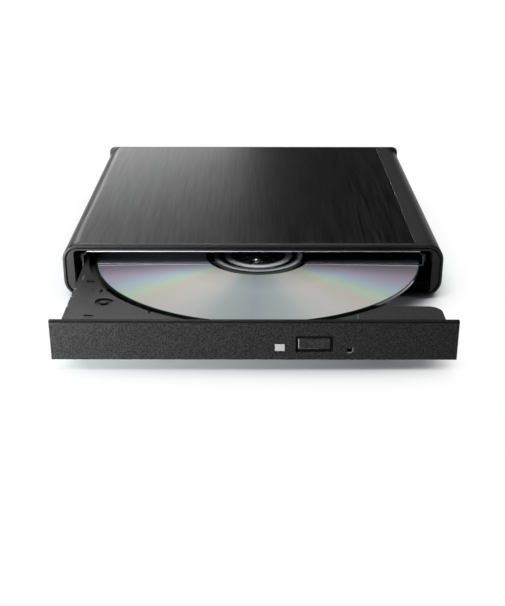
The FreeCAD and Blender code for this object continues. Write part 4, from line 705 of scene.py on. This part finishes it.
disc_face = Finish("disc_face", Roughness=0.12, Coat_Weight=0.4, Coat_Roughness=0.03)
offset = disc_face.place.node(
    "ShaderNodeVectorMath", {"operation": "SUBTRACT"}, {0: disc_face.place, 1: disc_centre},
)
flat_way = offset.stretch(1, 1, 0)
radius = flat_way.node("ShaderNodeVectorMath", {"operation": "LENGTH"}, {0: flat_way}, "Value")
side = offset.along("X")
ahead = offset.along("Y")
FAN_TURN = math.radians(2)
turn = abs(side.maths("ARCTAN2", side, ahead * -1) + FAN_TURN) / math.pi
# painted reflection: one fan of the split light, painted by its angle, in degrees from the front of the
# drive and the same to both sides
FANS = (
    (0, tone(172, 182, 186)),
    (12, tone(184, 194, 194)),
    (21, tone(209, 211, 209)),
    (31, tone(216, 214, 210)),
    (41, tone(214, 208, 199)),
    (48, tone(201, 221, 198)),
    (56, tone(182, 201, 216)),
    (64, tone(179, 172, 191)),
    (72, tone(157, 146, 164)),
    (79, tone(134, 132, 139)),
    (110, tone(120, 127, 134)),
    (180, tone(110, 122, 132)),
)
stops = [(angle / 180, colour) for angle, colour in FANS]
fans = turn.node("ShaderNodeValToRGB", {"stops": stops}, {0: turn})
# painted reflection and shade: behind a line across the disc the colours are darkened for the dark slot the
# mirror shows, more on the right than on the left; a light line along it is the cover's bright lip as a
# painted reflection; and in front of it the colours darken towards the line
LIP_LINE = 9.2 * MM
LIP_HALF = 0.32 * MM
LIP_BEND = 0.45
LIP_FADE = 10 * MM
past_lip = ahead + LIP_LINE + side * side * LIP_BEND
slot_dark = (side / disc_radius * 0.5 + 0.5).blend(tone(190, 196, 200), tone(140, 152, 160))
before_lip = past_lip.node(
    "ShaderNodeMapRange", None, {0: past_lip, 1: -LIP_FADE, 2: -LIP_HALF, 3: 1.0, 4: 0.74},
)
fans = fans.times(before_lip)
fans = (past_lip > 0.0).blend(fans, fans.times(slot_dark))
fans = within(past_lip, -LIP_HALF, LIP_HALF).blend(fans, tone(214, 217, 220))
# the layer is a little darker towards the hub
HUB_SHADE_END = 34 * MM
near_hub = radius.node(
    "ShaderNodeMapRange", None, {0: radius, 1: MIRROR_START, 2: HUB_SHADE_END, 3: 0.72, 4: 1.0},
)
mirror = within(radius, MIRROR_START, MIRROR_END)
in_hub = radius < MIRROR_START
# rings painted in the clear middle, from the bore outwards: partly the turntable, rubber, moulded ring and
# layer's edge seen through it, and partly painted highlights and reflections, light and dark, the brightest
# arcs near 11 and 16 mm
BANDS = (
    (7.5, 34), (9.0, 44), (9.8, 80), (10.6, 236), (11.8, 252), (12.5, 190), (12.9, 12), (14.2, 10),
    (14.8, 120), (15.5, 214), (16.5, 196), (16.9, 18), (19.5, 10),
)
BANDS_END = 20
band_stops = [(place / BANDS_END, tone(grey - 6, grey, grey + 2)) for place, grey in BANDS]
bands = radius.node("ShaderNodeValToRGB", {"stops": band_stops}, {0: radius / (BANDS_END * MM)})
clear_edge = tone(34, 62, 52)
disc_face.feed(
    Base_Color=mirror.blend(in_hub.blend(clear_edge, bands), fans.times(near_hub)),
    Metallic=mirror * 0.2,
    Alpha=1 - in_hub * 0.35,
)
disc = spun(
    "optical_disc_piece",
    [
        (BORE, disc_low.z + BEVEL),
        (BORE + BEVEL, disc_low.z),
        (disc_radius - BEVEL, disc_low.z),
        (disc_radius, disc_low.z + BEVEL),
        (disc_radius, disc_high.z - BEVEL),
        (disc_radius - BEVEL, disc_high.z),
        (RING_RADIUS + 2 * RING_HALF, disc_high.z),
        (RING_RADIUS + RING_HALF, disc_high.z + RING_RISE),
        (RING_RADIUS, disc_high.z),
        (BORE + BEVEL, disc_high.z),
        (BORE, disc_high.z - BEVEL),
    ],
    disc_centre,
)
settle(disc, disc_face, "spindle", "optical_disc")

# Latch hook and spring: the hook is moulded in white acetal and turns on its pivot to hold the shut tray.
# The coil spring of drawn steel wire sits between the tray's bracket and the plunger's collar.
hook_white = moulded("hook_white", tone(178, 178, 174), tone(196, 195, 190), 0.4 * MM, 0.004 * MM, 0.4)
refine("latch_hook", hook_white, "hook", 0.1 * MM)
paint(ground_steel, "eject_spring")

# Bezel: charcoal ABS with a fine even grain, clipped to the front of the tray, with the recess for the
# button, the window of the light and the release hole.
bezel_low, bezel_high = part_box("front_bezel")
button_low, button_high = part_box("eject_button")
KEY_MIDDLE = ((button_low.x + button_high.x) / 2, 9.65 * MM)
KEY_HALF = (5.2 * MM, 1.95 * MM)
RECESS_MARGIN = 1.0 * MM
FACE_DEPTH = 0.25 * MM
LEDGE = 0.5 * MM
PINHOLE = (31.1 * MM, 7.65 * MM)
PINHOLE_RIM = 0.95 * MM
PINHOLE_EDGE = 1.3 * MM
bezel_grain = moulded("bezel_grain", tone(5), tone(40), 0.42 * MM, 0.04 * MM, 0.5, 0.1)
spot = {axis: bezel_grain.place.along(axis) for axis in "XYZ"}
recess = [half + RECESS_MARGIN for half in KEY_HALF]
in_recess = (
    within(spot["X"], KEY_MIDDLE[0] - recess[0], KEY_MIDDLE[0] + recess[0])
    * within(spot["Z"], KEY_MIDDLE[1] - recess[1], KEY_MIDDLE[1] + recess[1])
    * (spot["Y"] > bezel_low.y + FACE_DEPTH)
)
off_x = spot["X"] - PINHOLE[0]
off_z = spot["Z"] - PINHOLE[1]
off_square = off_x * off_x + off_z * off_z
on_ledge = spot["Z"] > bezel_high.z - LEDGE
# painted shade: the button's recess, the bezel's top ledge and the release hole with a ring round it are
# painted near black
marked(bezel_grain, in_recess | on_ledge | (off_square < PINHOLE_RIM ** 2), tone(6))
# the lower right of the hole's rim catches the light
lit_rim = within(off_square, PINHOLE_RIM ** 2, PINHOLE_EDGE ** 2) * (off_x - off_z > 0.2 * MM)
marked(bezel_grain, lit_rim, tone(86))
refine("front_bezel", bezel_grain, "tray", 0.15 * MM)

# Eject button: the same plastic as the bezel, with a painted highlight along its left and lower edges. It
# slides in the recess and presses the switch on the board behind.
HIGHLIGHT_SIDE = 0.3 * MM
HIGHLIGHT_FOOT = 0.25 * MM
HIGHLIGHT_END = 1.5 * MM
button_black = moulded("button_black", tone(5), tone(40), 0.42 * MM, 0.02 * MM, 0.42, 0.2)
key = {axis: button_black.place.along(axis) for axis in "XZ"}
edge_highlight = (key["X"] < KEY_MIDDLE[0] - KEY_HALF[0] + HIGHLIGHT_SIDE) | (
    key["Z"] < KEY_MIDDLE[1] - KEY_HALF[1] + HIGHLIGHT_FOOT
)
# painted highlight along the left and lower edges of the button
marked(button_black, edge_highlight * (key["X"] < KEY_MIDDLE[0] + HIGHLIGHT_END), tone(76))
refine("eject_button", button_black, "button", 0.15 * MM)

# Light guide: a small block of milky polycarbonate pressed into the bezel's window, which carries the
# light from the board behind.
light_guide = moulded("light_guide", tone(118), tone(134), 0.8 * MM, 0.003 * MM, 0.3, 0.5)
refine("status_lens", light_guide, "tray", 0.1 * MM)

# Upper case shell, rear cap and front ring: the same black ABS as the lower shell. The cap and the ring
# are clipped over the ends of both shells, and a fine rim line is cut round the ring's face.
ring_low, ring_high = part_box("front_ring")
ring_black = moulded("ring_black", tone(3), tone(24), 0.42 * MM, 0.02 * MM, 0.45, 0.25)
RIM = 0.6 * MM
GROOVE_START = 0.2 * MM
GROOVE_END = 0.75 * MM
in_groove = (
    within(ring_black.place.along("Y"), ring_low.y + GROOVE_START, ring_low.y + GROOVE_END)
    * within(ring_black.place.along("Z"), ring_low.z + RIM, ring_high.z - RIM)
    * (abs(ring_black.place.along("X")) < ring_high.x - RIM)
)
# painted shade: the groove round the ring's face is painted near black
marked(ring_black, in_groove, tone(5))
refine("top_shell", case_black, "housing")
refine("rear_cap", case_black, "housing")
refine("front_ring", ring_black, "housing", 0.1 * MM)

# Top plate: near-black anodised aluminium with long hairlines brushed along the drive, folded over the
# left edge and glued to the upper shell.
plate = Finish("brushed_plate", Metallic=1.0, Specular_Tint=(0.66, 0.66, 0.66, 1))
BRUSHED = (1, 0.03, 1)
BRUSH_CONTRAST = 2.8
hairs = sharper(plate.noise(0.7 * MM, 1.0, plate.place.stretch(*BRUSHED)), BRUSH_CONTRAST)
streaks = sharper(plate.noise(1.3 * MM, 1.0, plate.place.stretch(*BRUSHED)), BRUSH_CONTRAST)
both = 0.6 * hairs + 0.4 * streaks
plate.feed(Base_Color=both.blend(tone(6), tone(68)), Roughness=0.29 + 0.03 * both)
plate.relief(hairs, 0.002 * MM)
refine("top_plate", plate, "housing", 0.1 * MM)

# Table: a wide pale board. Open table shows white to the camera and in reflections, and where something
# stands close over it the board's own shade shows.
FLOOR_HALF = 20.0
SHADE_REACH = 0.03
floor_mesh = bpy.data.meshes.new("table")
corners = [(x * FLOOR_HALF, y * FLOOR_HALF, 0) for x, y in ((-1, -1), (1, -1), (1, 1), (-1, 1))]
floor_mesh.from_pydata(corners, [], [(0, 1, 2, 3)])
floor = bpy.data.objects.new("table", floor_mesh)
bpy.context.scene.collection.objects.link(floor)
table = Finish("table_white", Base_Color=tone(200, 206, 208), Roughness=0.9, Specular_IOR_Level=0.0)
floor_mesh.materials.append(table.material)
seen = table.place.node("ShaderNodeLightPath", out="Is Camera Ray")
mirrored = table.place.node("ShaderNodeLightPath", out="Is Glossy Ray")
through = table.place.node("ShaderNodeLightPath", out="Is Transmission Ray")
openness = table.place.node("ShaderNodeAmbientOcclusion", {"samples": 24}, {"Distance": SHADE_REACH}, "AO")
far = openness.node(
    "ShaderNodeMapRange", {"interpolation_type": "SMOOTHSTEP"},
    {0: openness, 1: 0.3, 2: 0.88, 3: 0.0, 4: 1.0},
)
glow = table.place.node("ShaderNodeEmission", None, {"Color": (1, 1, 1, 1), "Strength": 1.0})
board = Wire(glow.tree, table.shader.outputs[0])
mixed = glow.node("ShaderNodeMixShader", None, {0: (seen | mirrored | through) * far, 1: board, 2: glow})
glow.tree.links.new(mixed.socket, table.output.inputs["Surface"])

# Room and lights: a dim white room that is bright only near the horizon, a soft box overhead, a strip
# behind on the left that the plate mirrors, and two small ones in front for the bezel and the hub.
world = bpy.data.worlds.new("studio")
bpy.context.scene.world = world
world.use_nodes = True
world.node_tree.nodes.clear()
rise = Wire(world.node_tree).node("ShaderNodeTexCoord", out="Generated").along("Z")
low_glow = rise.node(
    "ShaderNodeMapRange", {"interpolation_type": "SMOOTHSTEP"},
    {0: rise, 1: 0.02, 2: 0.11, 3: 1.0, 4: 0.05},
)
sky = low_glow.node("ShaderNodeBackground", None, {"Color": (1, 1, 1, 1), "Strength": low_glow})
sky.node("ShaderNodeOutputWorld", None, {"Surface": sky})


def softbox(name, place, target, width, height, power, roll=0.0):
    """A flat soft light that faces a target and isn't seen itself."""
    light = bpy.data.lights.new(name, "AREA")
    light.shape = "RECTANGLE"
    light.size = width
    light.size_y = height
    light.energy = power
    item = bpy.data.objects.new(name, light)
    item.location = place
    facing = (Vector(target) - Vector(place)).to_track_quat("-Z", "Y")
    item.rotation_euler = (facing @ Quaternion((0, 0, 1), math.radians(roll))).to_euler()
    item.visible_camera = False
    bpy.context.scene.collection.objects.link(item)


softbox("overhead", (-0.12, 0.26, 0.86), (0, 0, 0), 1.1, 0.9, 8.8)
softbox("behind_left", (-0.3, 1.15, 0.27), (0, 0.05, 0.02), 0.64, 0.06, 2.4, 22)
softbox("front_left", (-0.19, -0.175, 0.014), (-0.05, -0.1, 0.01), 0.1, 0.02, 2.6)
softbox("front_spark", (-0.13, -0.24, 0.6), (0, -0.03, 0.015), 0.16, 0.12, 0.9)

# Camera: a 60 mm lens in front of the drive and a little above it, tilted down on the tray as in the
# photograph.
CAMERA_PLACE = (0.7 * MM, -388.7 * MM, 152.4 * MM)
CAMERA_TILT = 23.88
CAMERA_ROLL = 0.0025
camera_data = bpy.data.cameras.new("camera")
camera_data.sensor_width = 36.0
camera_data.lens = 60.0
camera_data.clip_start = 0.01
camera_data.clip_end = 50.0
camera = bpy.data.objects.new("camera", camera_data)
camera.location = CAMERA_PLACE
camera.rotation_euler = (math.radians(90 - CAMERA_TILT), 0, CAMERA_ROLL)
bpy.context.scene.collection.objects.link(camera)
bpy.context.scene.camera = camera
bpy.context.scene.view_settings.view_transform = "Standard"
